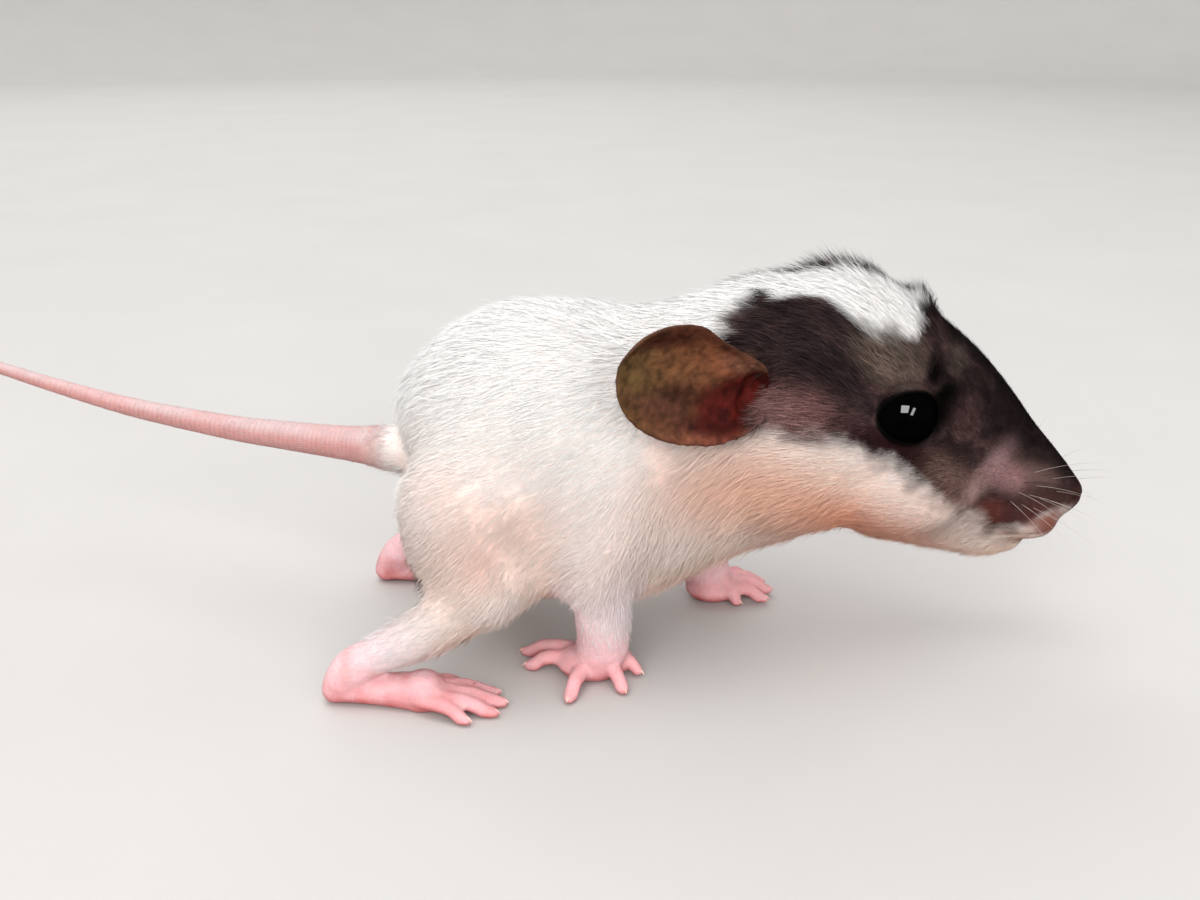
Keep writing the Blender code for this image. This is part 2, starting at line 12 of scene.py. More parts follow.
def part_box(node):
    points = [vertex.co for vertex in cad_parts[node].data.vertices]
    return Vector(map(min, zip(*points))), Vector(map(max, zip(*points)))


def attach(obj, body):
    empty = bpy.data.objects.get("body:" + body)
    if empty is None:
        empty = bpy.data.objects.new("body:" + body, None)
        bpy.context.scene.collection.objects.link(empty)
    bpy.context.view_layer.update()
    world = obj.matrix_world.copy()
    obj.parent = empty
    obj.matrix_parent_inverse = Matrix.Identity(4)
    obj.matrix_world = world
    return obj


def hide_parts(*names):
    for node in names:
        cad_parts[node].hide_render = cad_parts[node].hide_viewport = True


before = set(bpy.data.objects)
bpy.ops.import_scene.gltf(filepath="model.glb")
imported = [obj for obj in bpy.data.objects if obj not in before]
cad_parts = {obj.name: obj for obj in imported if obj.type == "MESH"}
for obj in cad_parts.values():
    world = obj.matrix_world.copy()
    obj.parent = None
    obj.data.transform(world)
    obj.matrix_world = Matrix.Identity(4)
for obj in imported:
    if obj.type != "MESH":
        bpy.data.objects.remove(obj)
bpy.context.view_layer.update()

# ---------------------------------------------------------------- sizes, mm
NOSE = (48.9, 0.0, 16.4)
HEAD_TILT = 25.0
EYE_R = 3.18
EYE_S, EYE_V, EYE_Y = 23.3, 1.0, 7.2
EAR_LONG, EAR_WIDE, EAR_THICK = 16.0, 11.3, 0.85
BODY_VOXEL = 0.34       # first skin of trunk, head and legs
SKIN_VOXEL = 0.25       # skin with feet, tail and ears joined
UNDER = 285000    # straight fine tufts of the coat
TUFTS = 17000      # curved tufts over them
SPIKES = 30000     # shortest hairs of muzzle, feet, ears and tail

tilt = math.radians(HEAD_TILT)
AX = np.array([math.cos(tilt), 0.0, -math.sin(tilt)])
AV = np.array([math.sin(tilt), 0.0, math.cos(tilt)])
AY = np.array([0.0, 1.0, 0.0])
UP = np.array([0.0, 0.0, 1.0])


def head_point(s, v, y):
    """Point s behind the nose tip, v above it, y to the left, in the head's axes."""
    return np.array(NOSE) - s * AX + v * AV + y * AY


def head_axes(p):
    """The head's own coordinates (s, v, y) of points p."""
    q = p - np.array(NOSE)
    return -(q @ AX), q @ AV, q[..., 1]


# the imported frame's origin, found from the two eyes
mid_eye = sum((np.array(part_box(n)[k]) for n in ("eye_right", "eye_left") for k in (0, 1)), np.zeros(3)) / 4 * 1000.0
SHIFT = mid_eye - head_point(EYE_S, EYE_V, 0.0)


def place(p):
    """Modelling frame, mm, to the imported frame, metres."""
    return (np.asarray(p, float) + SHIFT) * 0.001


# ---------------------------------------------------------------- form makers
def power(c, p):
    return math.copysign(abs(c) ** (2.0 / p), c)


def egg(centre, side, up, half, top, bottom, p=2.2, n=48):
    ring = []
    for i in range(n):
        t = 2 * math.pi * i / n
        a, b = power(math.cos(t), p), power(math.sin(t), p)
        ring.append(centre + side * (half * a) + up * ((top if b > 0 else bottom) * b))
    return ring


def skin_over(bm, rings):
    rows = [[bm.verts.new(tuple(p)) for p in ring] for ring in rings]
    for a, b in zip(rows, rows[1:]):
        for i in range(len(a)):
            j = (i + 1) % len(a)
            bm.faces.new((a[i], a[j], b[j], b[i]))
    bm.faces.new(list(reversed(rows[0])))
    bm.faces.new(rows[-1])


def smooth_table(table, steps):
    rows = [np.array(r, float) for r in table]
    rows = [2 * rows[0] - rows[1]] + rows + [2 * rows[-1] - rows[-2]]
    out = []
    for k in range(1, len(rows) - 2):
        p0, p1, p2, p3 = rows[k - 1:k + 3]
        for i in range(steps):
            t = i / steps
            out.append(0.5 * (2 * p1 + (p2 - p0) * t + (2 * p0 - 5 * p1 + 4 * p2 - p3) * t * t
                              + (3 * p1 - p0 - 3 * p2 + p3) * t ** 3))
    out.append(rows[-2])
    return out


def ball(bm, centre, radii, axes=None, n=40, m=24):
    axes = np.eye(3) if axes is None else np.array(axes)
    rings = []
    for j in range(1, m):
        u = math.pi * j / m
        rings.append([np.array(centre) + axes[0] * radii[0] * math.cos(u)
                      + axes[1] * radii[1] * math.sin(u) * math.cos(2 * math.pi * i / n)
                      + axes[2] * radii[2] * math.sin(u) * math.sin(2 * math.pi * i / n)
                      for i in range(n)])
    rows = [[bm.verts.new(tuple(p)) for p in ring] for ring in rings]
    for a, b in zip(rows, rows[1:]):
        for i in range(n):
            bm.faces.new((a[i], a[(i + 1) % n], b[(i + 1) % n], b[i]))
    first = bm.verts.new(tuple(np.array(centre) + axes[0] * radii[0]))
    last = bm.verts.new(tuple(np.array(centre) - axes[0] * radii[0]))
    for i in range(n):
        bm.faces.new((rows[0][(i + 1) % n], rows[0][i], first))
        bm.faces.new((rows[-1][i], rows[-1][(i + 1) % n], last))


def tube_rings(path, n=24, steps=6, flat=1.0):
    pts = smooth_table(path, steps)
    xyz = np.array([p[:3] for p in pts])
    rings = []
    side = None
    for k, p in enumerate(pts):
        d = xyz[min(k + 1, len(pts) - 1)] - xyz[max(k - 1, 0)]
        d = d / np.linalg.norm(d)
        ref = np.array([0.0, 0.0, 1.0]) if abs(d[2]) < 0.8 else np.array([1.0, 0.0, 0.0])
        s = np.cross(ref, d)
        s /= np.linalg.norm(s)
        if side is not None:
            s = side - d * np.dot(side, d)
            s /= np.linalg.norm(s)
        side = s
        u = np.cross(d, s)
        r = p[3]
        rings.append([xyz[k] + s * r * math.cos(2 * math.pi * i / n)
                      + u * r * flat * math.sin(2 * math.pi * i / n) for i in range(n)])
    return rings


def tube(bm, path, n=24, steps=6, flat=1.0):
    skin_over(bm, tube_rings(path, n, steps, flat))
    ball(bm, path[0][:3], [path[0][3]] * 3, n=n, m=12)
    ball(bm, path[-1][:3], [path[-1][3]] * 3, n=n, m=12)


def to_object(bm, name):
    mesh = bpy.data.meshes.new(name)
    bmesh.ops.recalc_face_normals(bm, faces=bm.faces)
    bm.to_mesh(mesh)
    bm.free()
    obj = bpy.data.objects.new(name, mesh)
    bpy.context.scene.collection.objects.link(obj)
    return obj


def settle(obj):
    graph = bpy.context.evaluated_depsgraph_get()
    graph.update()
    mesh = bpy.data.meshes.new_from_object(obj.evaluated_get(graph))
    obj.modifiers.clear()
    old = obj.data
    obj.data = mesh
    bpy.data.meshes.remove(old)
    return obj


def remesh(obj, voxel):
    m = obj.modifiers.new("one_skin", "REMESH")
    m.mode, m.voxel_size, m.adaptivity = "VOXEL", voxel, 0.0
    return settle(obj)


def points_of(mesh):
    co = np.empty(len(mesh.vertices) * 3, np.float64)
    mesh.vertices.foreach_get("co", co)
    return co.reshape(-1, 3)


def set_points(mesh, co):
    mesh.vertices.foreach_set("co", np.ascontiguousarray(co, np.float32).ravel())
    mesh.update()


def normals_of(mesh):
    mesh.update()
    no = np.empty(len(mesh.vertices) * 3, np.float32)
    mesh.vertex_normals.foreach_get("vector", no)
    return no.reshape(-1, 3).astype(float)


def edges_of(mesh):
    e = np.empty(len(mesh.edges) * 2, np.int32)
    mesh.edges.foreach_get("vertices", e)
    return e.reshape(-1, 2)


def ease(co, edges, rounds, weight=1.0, factor=0.5):
    """Moves each point toward the middle of its neighbours."""
    n = len(co)
    i, j = edges[:, 0], edges[:, 1]
    count = np.bincount(i, minlength=n) + np.bincount(j, minlength=n)
    count = np.maximum(count, 1)[:, None]
    w = np.broadcast_to(np.asarray(weight, float), (n,))[:, None] * factor
    for _ in range(rounds):
        total = np.stack([np.bincount(i, co[j, k], n) + np.bincount(j, co[i, k], n) for k in range(3)], 1)
        co = co + (total / count - co) * w
    return co


def unit(v):
    return v / np.maximum(np.linalg.norm(v, axis=-1, keepdims=True), 1e-9)


def ramp(x, a, b):
    """0 at a, 1 at b, smooth between."""
    t = np.clip((x - a) / (b - a), 0.0, 1.0)
    return t * t * (3 - 2 * t)


LATTICE = np.random.default_rng(11).random((32, 32, 32)) * 2 - 1


def noise(p, size, seed=0):
    """Smooth noise from about -1 to 1 with features about size across."""
    q = p / size + np.array([0.37, 7.31, 3.77]) * (seed + 1)
    i = np.floor(q).astype(int)
    f = q - i
    f = f * f * (3 - 2 * f)
    a, b = i % 32, (i + 1) % 32
    out = 0.0
    for dx, wx in ((0, 1 - f[:, 0]), (1, f[:, 0])):
        for dy, wy in ((0, 1 - f[:, 1]), (1, f[:, 1])):
            for dz, wz in ((0, 1 - f[:, 2]), (1, f[:, 2])):
                out = out + wx * wy * wz * LATTICE[(b if dx else a)[:, 0], (b if dy else a)[:, 1], (b if dz else a)[:, 2]]
    return out * 1.6


# ---------------------------------------------------------------- body forms
def trunk_form(bm):
    stations = [
        (-20.4, 26.9, 24.4, 1.3, 0.50),
        (-20.0, 28.1, 22.6, 3.9, 0.50),
        (-19.0, 29.8, 19.4, 6.4, 0.49),
        (-17.2, 31.9, 14.2, 9.2, 0.47),
        (-14.5, 34.0, 9.1, 11.8, 0.45),
        (-11.5, 35.5, 7.1, 13.2, 0.44),
        (-8.0, 36.4, 6.4, 13.7, 0.43),
        (-4.0, 36.5, 5.9, 13.4, 0.42),
        (0.0, 36.2, 5.7, 12.6, 0.43),
        (4.0, 36.0, 6.3, 11.6, 0.44),
        (8.0, 36.8, 7.6, 10.7, 0.46),
        (12.0, 38.2, 9.3, 10.2, 0.50),
        (16.0, 39.2, 10.5, 9.9, 0.54),
        (20.0, 39.2, 11.4, 9.2, 0.55),
        (23.0, 36.8, 13.0, 7.0, 0.55),
    ]
    rings = []
    for x, top, low, half, level in smooth_table(stations, 6):
        mid = low + (top - low) * level
        rings.append(egg(np.array([x, 0.0, mid]), AY, UP, max(half, 0.6), top - mid, mid - low, p=2.15))
    skin_over(bm, rings)
    for side in (-1, 1):
        ball(bm, (-10.8, side * 9.3, 17.2), (8.8, 5.6, 10.4))
        ball(bm, (2.2, side * 7.7, 19.5), (6.6, 5.2, 9.6))


HEAD_STATIONS = [
    (-0.35, -0.35, -1.3, 0.5, 0.50),
    (0.15, 0.55, -2.3, 1.35, 0.48),
    (1.2, 1.15, -3.9, 2.1, 0.44),
    (3.0, 2.15, -5.6, 2.9, 0.40),
    (5.2, 3.25, -7.1, 3.6, 0.38),
    (8.0, 4.60, -8.6, 4.3, 0.38),
    (11.2, 6.25, -10.2, 5.3, 0.40),
    (14.4, 7.75, -11.4, 6.6, 0.42),
    (17.6, 9.00, -12.4, 7.9, 0.43),
    (20.8, 10.05, -13.9, 9.0, 0.43),
    (24.4, 10.95, -16.2, 9.9, 0.44),
    (28.0, 11.50, -18.2, 10.4, 0.46),
    (31.6, 11.15, -19.3, 10.3, 0.48),
    (35.2, 9.60, -19.4, 9.7, 0.50),
    (38.4, 6.60, -17.0, 8.0, 0.50),
]


def head_form(bm):
    rings = []
    for s, top, low, half, level in smooth_table(HEAD_STATIONS, 6):
        mid = low + (top - low) * level
        rings.append(egg(head_point(s, mid, 0.0), AY, AV, max(half, 0.4), top - mid, mid - low, p=2.0))
    skin_over(bm, rings)
    jaw = [
        (2.6, -7.0, -8.3, 0.8),
        (3.4, -6.3, -9.1, 1.5),
        (5.4, -6.0, -10.1, 2.3),
        (8.2, -6.0, -11.2, 3.1),
        (11.4, -6.0, -12.0, 4.1),
        (15.0, -6.0, -12.7, 5.4),
        (19.0, -7.0, -14.1, 6.8),
    ]
    rings = []
    for s, top, low, half in smooth_table(jaw, 6):
        mid = 0.5 * (top + low)
        rings.append(egg(head_point(s, mid, 0.0), AY, AV, half, top - mid, mid - low))
    skin_over(bm, rings)
    axes = (AX, AY, AV)
    for side in (-1, 1):
        ball(bm, head_point(5.6, -4.3, side * 2.3), (4.3, 2.1, 2.7), axes)
        ball(bm, head_point(19.5, -5.6, side * 5.6), (7.6, 4.0, 5.8), axes)
        ball(bm, head_point(24.5, 4.0, side * 6.2), (4.8, 2.7, 3.2), axes)
        ball(bm, head_point(30.0, -7.5, side * 6.4), (7.0, 4.4, 7.6), axes)


NEAR, FAR = -1, 1
FORELEGS = {
    "right": {"shoulder": (1.6, -7.6, 20.5), "elbow": (-0.6, -9.3, 13.4), "mid": (0.1, -9.0, 9.0),
              "wrist": (0.3, -8.7, 4.4)},
    "left": {"shoulder": (4.8, 7.4, 19.5), "elbow": (5.8, 9.2, 12.9), "mid": (8.9, 9.1, 8.6),
             "wrist": (11.6, 8.8, 4.4)},
}
HINDLEGS = {
    "right": {"hip": (-13.2, -9.2, 18.8), "knee": (-10.6, -12.9, 12.2), "shank": (-16.6, -13.2, 7.6),
              "ankle": (-23.0, -13.1, 3.9)},
    "left": {"hip": (-13.2, 9.2, 18.8), "knee": (-9.8, 12.9, 12.0), "shank": (-15.8, 13.2, 7.5),
             "ankle": (-22.2, 13.1, 3.9)},
}


def foreleg_form(bm, side):
    leg = FORELEGS[side]
    tube(bm, [(*leg["shoulder"], 5.6), (*leg["elbow"], 4.5), (*leg["mid"], 3.25), (*leg["wrist"], 2.95),
              (leg["wrist"][0], leg["wrist"][1], leg["wrist"][2] - 1.6, 2.7)], n=28)


def hindleg_form(bm, side):
    leg = HINDLEGS[side]
    tube(bm, [(*leg["hip"], 6.6), (*leg["knee"], 4.3)], n=28)
    tube(bm, [(*leg["knee"], 4.1), (*leg["shank"], 2.9), (*leg["ankle"], 2.0)], n=28)


TOES = []       # (name, base, tip, fat) of every toe, for claws and creases


def digit(bm, name, base, tip, fat, arch=0.5):
    fat = fat * 0.90
    base, tip = np.array(base, float), np.array(tip, float)
    mid = 0.45 * base + 0.55 * tip
    mid[2] = max(mid[2], 0.9) + arch
    near_tip = 0.15 * base + 0.85 * tip
    near_tip[2] = tip[2] + 0.15
    tube(bm, [(*base, fat * 1.12), (*mid, fat * 0.92), (*near_tip, fat * 0.86), (*tip, fat * 0.66)], n=16, steps=5)
    # the knuckle and the pad under the tip
    knuckle = 0.52 * base + 0.48 * tip
    ball(bm, (knuckle[0], knuckle[1], mid[2] + 0.02), (fat * 0.99,) * 3, n=16, m=10)
    ball(bm, (near_tip[0], near_tip[1], max(near_tip[2] - 0.1, fat * 0.8)), (fat * 0.96, fat * 0.96, fat * 0.82), n=16, m=10)
    TOES.append((name, base, tip, fat))


def forepaw_right_form(bm):
    x, y, z = FORELEGS["right"]["wrist"]
    tube(bm, [(x, y, z + 2.2, 2.2), (x, y + 0.1, z - 0.4, 2.62), (x - 0.5, y + 0.3, 2.0, 2.4)], n=28)
    ball(bm, (-1.0, -7.9, 1.3), (3.3, 2.9, 1.6))
    ball(bm, (1.4, -7.4, 1.3), (1.9, 1.9, 1.5))
    digit(bm, "fr_1", (-3.0, -5.6, 1.5), (-7.7, -4.7, 0.55), 0.86)
    digit(bm, "fr_2", (-3.1, -7.6, 1.5), (-7.2, -7.5, 0.55), 0.90)
    digit(bm, "fr_3", (-1.6, -9.6, 1.5), (-3.0, -13.8, 0.55), 0.92)
    digit(bm, "fr_4", (0.8, -9.3, 1.5), (2.3, -12.2, 0.55), 0.88)
    digit(bm, "fr_5", (2.3, -7.8, 1.7), (3.9, -8.9, 0.65), 0.74, arch=0.3)


def forepaw_left_form(bm):
    x, y, z = FORELEGS["left"]["wrist"]
    tube(bm, [(x - 1.0, y, z + 2.2, 2.2), (x, y, z - 0.4, 2.62), (x + 0.6, y, 2.0, 2.4)], n=28)
    ball(bm, (x + 1.0, y, 1.3), (3.1, 2.8, 1.6))
    for k, (base_y, tip_x, tip_y, fat) in enumerate((
            (-1.7, 3.6, -2.7, 0.76), (-0.9, 6.6, -1.7, 0.88), (0.3, 7.3, 0.5, 0.92),
            (1.3, 6.7, 2.5, 0.90), (1.9, 5.0, 4.2, 0.84))):
        digit(bm, "fl_%d" % (k + 1), (x + 2.4, y + base_y, 1.5), (x + tip_x, y + tip_y, 0.55), fat)


def hindfoot_form(bm, side):
    s = -1 if side == "right" else 1
    x, y, z = HINDLEGS[side]["ankle"]
    tube(bm, [(x + 3.4, y, z + 1.9, 1.45), (x, y, z, 1.95), (x - 1.6, y, 2.3, 1.75), (x - 2.2, y, 1.5, 1.4)], n=24)
    tube(bm, [(x - 2.3, y, 1.25, 1.35), (x + 2.0, y + 0.15 * s, 1.35, 1.75), (x + 6.2, y + 0.6 * s, 1.35, 2.2)],
         n=24, flat=0.85)
    for k, (base_y, tip_x, tip_y, fat) in enumerate((
            (-1.5, 10.0, -2.4, 0.82), (-0.7, 13.0, -1.1, 0.92), (0.2, 13.8, 0.7, 0.94),
            (1.1, 13.1, 2.5, 0.92), (1.8, 10.7, 3.9, 0.84))):
        digit(bm, "h%s_%d" % (side[0], k + 1), (x + 6.4, y + (0.6 + base_y) * s, 1.4),
              (x + tip_x, y + (0.6 + tip_y) * s, 0.55), fat, arch=0.45)


TAIL = [
    (-17.6, 0.0, 20.6, 2.80),
    (-20.6, 0.1, 20.9, 2.35),
    (-25.0, 0.7, 21.2, 1.90),
    (-30.5, 2.0, 21.4, 1.62),
    (-37.0, 4.4, 21.4, 1.42),
    (-44.0, 7.6, 21.5, 1.26),
    (-51.0, 10.6, 21.9, 1.11),
    (-58.5, 13.5, 22.9, 0.95),
    (-66.5, 16.0, 24.5, 0.79),
    (-74.0, 17.9, 26.5, 0.64),
    (-79.6, 19.0, 28.2, 0.50),
]
TAIL_LINE = np.array(smooth_table(TAIL, 8))


def tail_form(bm):
    rings = tube_rings(TAIL, n=24, steps=8)
    middle = [np.mean(r, 0) for r in rings]
    for k, ring in enumerate(rings):
        grow = 1.0 - 0.10 / TAIL_LINE[min(k, len(TAIL_LINE) - 1)][3]
        rings[k] = [middle[k] + (p - middle[k]) * grow for p in ring]
    skin_over(bm, rings)
    ball(bm, middle[-1], (0.42, 0.42, 0.42), n=16, m=10)


# ---------------------------------------------------------------- ears
def ear_frame(side):
    sag = 0.0 if side == NEAR else 5.1
    root = np.array([15.5, side * 9.35, 29.8 - 0.6 * sag])
    tip = np.array([0.9, side * (15.4 if side == NEAR else 13.9), 33.6 - 1.4 * sag])
    along = unit(tip - root)
    up = np.array([0.0, side * 0.10, 1.0])
    across = unit(up - along * np.dot(up, along))
    normal = np.cross(along, across)
    if normal[1] * side < 0:
        normal = -normal
    return root, along, across, normal


def ear_edge(u):
    return np.sqrt(np.maximum(0.0, 1 - ((u - 0.50) / 0.50) ** 2)) ** 0.92 * (0.88 + 0.20 * u)


def ear_shift(u):
    return 0.4 * u - 0.85 * np.clip(1 - u, 0, 1) ** 1.5


def ear_half(u, w):
    """Half width of the ear, a little less above toward the root."""
    half = ear_edge(u) * EAR_WIDE / 2
    return half - np.where(w > 0, 0.85 * ramp(-u, -0.62, -0.40) * (1 - 0.75 * ramp(-u, -0.32, -0.10)), 0.0)


def ear_point(side, u, w):
    """Point of the ear's inner face at share u of its length and w across, with its local thickness."""
    root, along, across, normal = ear_frame(side)
    half = ear_half(u, w)
    bowl = 2.0 * (1 - u) ** 0.6 * (1 - w * w) + 0.9 * (1 - w * w) * u
    # the rim rolls forward a little, and low folds run up from the root
    r = np.maximum(abs(w), abs(2 * u - 1))
    roll = 0.16 * ramp(r, 0.86, 0.99)
    fold = 0.22 * np.exp(-((w - 0.25 + 0.5 * (u - 0.3)) / 0.16) ** 2) * ramp(u, 0.05, 0.25) * ramp(-u, -0.62, -0.35)
    fold = fold + 0.18 * np.exp(-((w + 0.52 - 0.2 * (u - 0.3)) / 0.14) ** 2) * ramp(u, 0.05, 0.25) * ramp(-u, -0.55, -0.3)
    ripple = 0.05 * np.sin(w * 15 + 4 * u) * ramp(u, 0.3, 0.6)
    lift = 1.4 - bowl + 0.27 * w * u + roll + fold + ripple
    p = root + along * (u * EAR_LONG) + across * (w * half + ear_shift(u)) + normal * lift
    return p, normal, EAR_THICK * (0.80 + 0.5 * (1 - u))


def ear_form(bm, side, rows=44, cols=40):
    front, back = [], []
    for i in range(rows):
        u = 0.012 + 0.976 * (0.5 - 0.5 * math.cos(math.pi * i / (rows - 1)))
        f, b = [], []
        for j in range(cols + 1):
            w = -1 + 2 * j / cols
            w = math.copysign(abs(w) ** 0.85, w)
            p, normal, thin = ear_point(side, u, w)
            rim = min(1.0, 6 * min(1 - abs(w), 1.0) + 0.15) * min(1.0, 9 * min(u, 1 - u) + 0.25)
            thin = thin * (0.80 + 0.06 * rim)
            f.append(p)
            b.append(p - normal * thin)
        front.append(f)
        back.append(b)
    fv = [[bm.verts.new(tuple(p)) for p in r] for r in front]
    bv = [[bm.verts.new(tuple(p)) for p in r] for r in back]
    for i in range(rows - 1):
        for j in range(cols):
            bm.faces.new((fv[i][j], fv[i][j + 1], fv[i + 1][j + 1], fv[i + 1][j]))
            bm.faces.new((bv[i][j], bv[i + 1][j], bv[i + 1][j + 1], bv[i][j + 1]))
        bm.faces.new((fv[i][0], fv[i + 1][0], bv[i + 1][0], bv[i][0]))
        bm.faces.new((fv[i][cols], bv[i][cols], bv[i + 1][cols], fv[i + 1][cols]))
    for j in range(cols):
        bm.faces.new((fv[0][j], bv[0][j], bv[0][j + 1], fv[0][j + 1]))
        bm.faces.new((fv[-1][j], fv[-1][j + 1], bv[-1][j + 1], bv[-1][j]))
    # the root, a short stalk that goes into the head
    root, along, across, normal = ear_frame(side)
    ball(bm, root + along * 0.6 - normal * 1.5 + across * 0.2, (3.6, 4.2, 1.5), (along, across, normal), n=32, m=20)


def ear_axes(p, side):
    """Shares u, w and height over the inner face, for points near the ear on that side."""
    root, along, across, normal = ear_frame(side)
    q = p - root
    u = (q @ along) / EAR_LONG
    raw = (q @ across) - ear_shift(u)
    half = np.maximum(ear_half(np.clip(u, 0.02, 0.98), raw), 0.4)
    w = raw / half
    uc, wc = np.clip(u, 0, 1), np.clip(w, -1, 1)
    bowl = 2.0 * (1 - uc) ** 0.6 * (1 - wc * wc) + 0.9 * (1 - wc * wc) * uc
    h = (q @ normal) - (1.4 - bowl + 0.27 * wc * uc)
    return u, w, h


def canal(p, side):
    """1 in the hollow of the ear's canal, 0 away from it."""
    root, along, across, normal = ear_frame(side)
    q = p - root
    a, b, h = q @ along, q @ across, q @ normal
    d = ((a - 3.0) / 3.0) ** 2 + ((b + 1.3 + 0.55 * (a - 3.0)) / 2.3) ** 2
    return np.exp(-0.6 * d ** 1.6) * (h > -2.4) * (h < 3.6)


def segment_distance(p, a, b):
    """Distance of points from the segment a-b, and the share along it."""
    a, b = np.array(a, float), np.array(b, float)
    d = b - a
    t = np.clip(((p - a) @ d) / (d @ d), 0, 1)
    return np.linalg.norm(p - (a + t[:, None] * d), axis=1), t


def tail_axes(p):
    """Share along the tail, distance from its line over its radius, for points p."""
    line, rad = TAIL_LINE[:, :3], TAIL_LINE[:, 3]
    best = np.full(len(p), 1e9)
    share = np.zeros(len(p))
    radius = np.ones(len(p))
    for k in range(len(line) - 1):
        d, t = segment_distance(p, line[k], line[k + 1])
        near = d < best
        best = np.where(near, d, best)
        share = np.where(near, (k + t) / (len(line) - 1), share)
        radius = np.where(near, rad[k] + (rad[k + 1] - rad[k]) * t, radius)
    return share, best, radius


def up_the_limb(p):
    """Distance in mm up the leg from wrist or ankle, 30 away from the legs."""
    out = np.full(len(p), 30.0)
    best = np.full(len(p), 4.8)
    for name in ("right", "left"):
        for leg, keys in ((FORELEGS[name], ("wrist", "mid", "elbow")), (HINDLEGS[name], ("ankle", "shank", "knee"))):
            far = 0.0
            for a, b in zip(keys, keys[1:]):
                d, t = segment_distance(p, leg[a], leg[b])
                length = np.linalg.norm(np.array(leg[b]) - np.array(leg[a]))
                near = d < best
                best = np.where(near, d, best)
                out = np.where(near, far + t * length, out)
                far += length
    return out


# ---------------------------------------------------------------- depth of the coat
def coat_depth(p):
    """How far under the coat's tips the skin lies, mm."""
    s, v, y = head_axes(p)
    on_head = ramp(-s, -42.0, -37.0)
    face = 0.16 + 0.30 * ramp(s, 2.0, 10.0) + 0.35 * ramp(s, 12.0, 30.0) + 0.30 * ramp(v, 4.0, 9.0) * ramp(s, 16, 26)
    depth = 0.92 * (1 - on_head) + face * on_head
    depth = depth * (0.30 + 0.70 * ramp(p[:, 2], 6.0, 13.0))
    # bare round the eyes and at the nose tip
    for side in (-1, 1):
        c = head_point(EYE_S, EYE_V, side * (EYE_Y + 2.2))
        depth = depth * (0.35 + 0.65 * ramp(np.linalg.norm(p - c, axis=1), 2.6, 5.0))
    return depth * (0.2 + 0.8 * ramp(s, 0.3, 2.5))


# ---------------------------------------------------------------- the skin
bm = bmesh.new()
trunk_form(bm)
head_form(bm)
for side in ("right", "left"):
    foreleg_form(bm, side)
    hindleg_form(bm, side)
body = remesh(to_object(bm, "body"), BODY_VOXEL)
co = points_of(body.data)
s_, v_, y_ = head_axes(co)
cheek = ramp(s_, 7.0, 10.0) * ramp(-s_, -22.0, -18.0) * ramp(-v_, 3.0, 5.0)
co = ease(co, edges_of(body.data), 26)
co = ease(co, edges_of(body.data), 130, weight=cheek)
set_points(body.data, co)
no = normals_of(body.data)
co = co - no * coat_depth(co)[:, None]
co = ease(co, edges_of(body.data), 3)
set_points(body.data, co)

bm = bmesh.new()
bm.from_mesh(body.data)
bpy.data.objects.remove(body, do_unlink=True)
forepaw_right_form(bm)
forepaw_left_form(bm)
hindfoot_form(bm, "right")
hindfoot_form(bm, "left")
tail_form(bm)
ear_form(bm, NEAR)
ear_form(bm, FAR)
skin = remesh(to_object(bm, "skin"), SKIN_VOXEL)
skin.name = "rat_skin"
co = ease(points_of(skin.data), edges_of(skin.data), 4)
lobe = np.zeros(len(co))
for side in (NEAR, FAR):
    u, w, h = ear_axes(co, side)
    lobe = np.maximum(lobe, ramp(u, 0.15, 0.35) * (abs(h) < 3.0) * (u < 1.15) * (abs(w) < 1.5) * (co[:, 1] * side > 6.0))
for _ in range(7):
    co = ease(co, edges_of(skin.data), 1, weight=lobe, factor=0.55)
    co = ease(co, edges_of(skin.data), 1, weight=lobe, factor=-0.57)
set_points(skin.data, co)

# eye frames: outward, along the lids, across them
EYES = {}
for side in (-1, 1):
    out = unit(side * AY + 0.20 * AX + 0.14 * AV)
    long_way = unit(AX * 0.90 + AV * 0.36 - out * np.dot(AX * 0.90 + AV * 0.36, out))
    across_way = np.cross(out, long_way)
    if across_way[2] < 0:
        across_way = -across_way
    EYES[side] = (head_point(EYE_S, EYE_V, side * (EYE_Y - 0.12)), out, long_way, across_way)


def eye_axes(p, side):
    """Share of the lid opening's radius, height over the eyeball and distance from its centre line."""
    c, out, e1, e2 = EYES[side]
    q = p - c
    a, b, h = q @ e1, q @ e2, q @ out
    # a rounded opening, drawn out toward the front corner
    long_half = np.where(a > 0, 3.02, 2.92)
    high_half = 2.34 * (1 - 0.14 * ramp(a, 0.8, 3.4))
    rho = np.sqrt((a / long_half) ** 2 + (b / high_half) ** 2)
    return rho, h, a, b


def refine(mesh, test, rounds):
    """Splits the faces round the points that test picks."""
    bm = bmesh.new()
    bm.from_mesh(mesh)
    for _ in range(rounds):
        bm.verts.ensure_lookup_table()
        pts = np.array([v.co[:] for v in bm.verts])
        chosen = test(pts)
        edges = [e for e in bm.edges if chosen[e.verts[0].index] and chosen[e.verts[1].index]]
        bmesh.ops.subdivide_edges(bm, edges=edges, cuts=1, use_grid_fill=True)
        bm.verts.index_update()
    bmesh.ops.triangulate(bm, faces=[f for f in bm.faces if len(f.verts) > 4])
    bm.to_mesh(mesh)
    bm.free()
    mesh.update()


def near_eyes(p):
    hit = np.zeros(len(p), bool)
    for side in (-1, 1):
        rho, h, a, b = eye_axes(p, side)
        hit |= (rho < 1.45) & (h > -0.5)
    return hit


def near_nose(p):
    s, v, y = head_axes(p)
    return (s < 2.6) & (v > -4.0)


refine(skin.data, near_eyes, 2)
refine(skin.data, near_nose, 1)

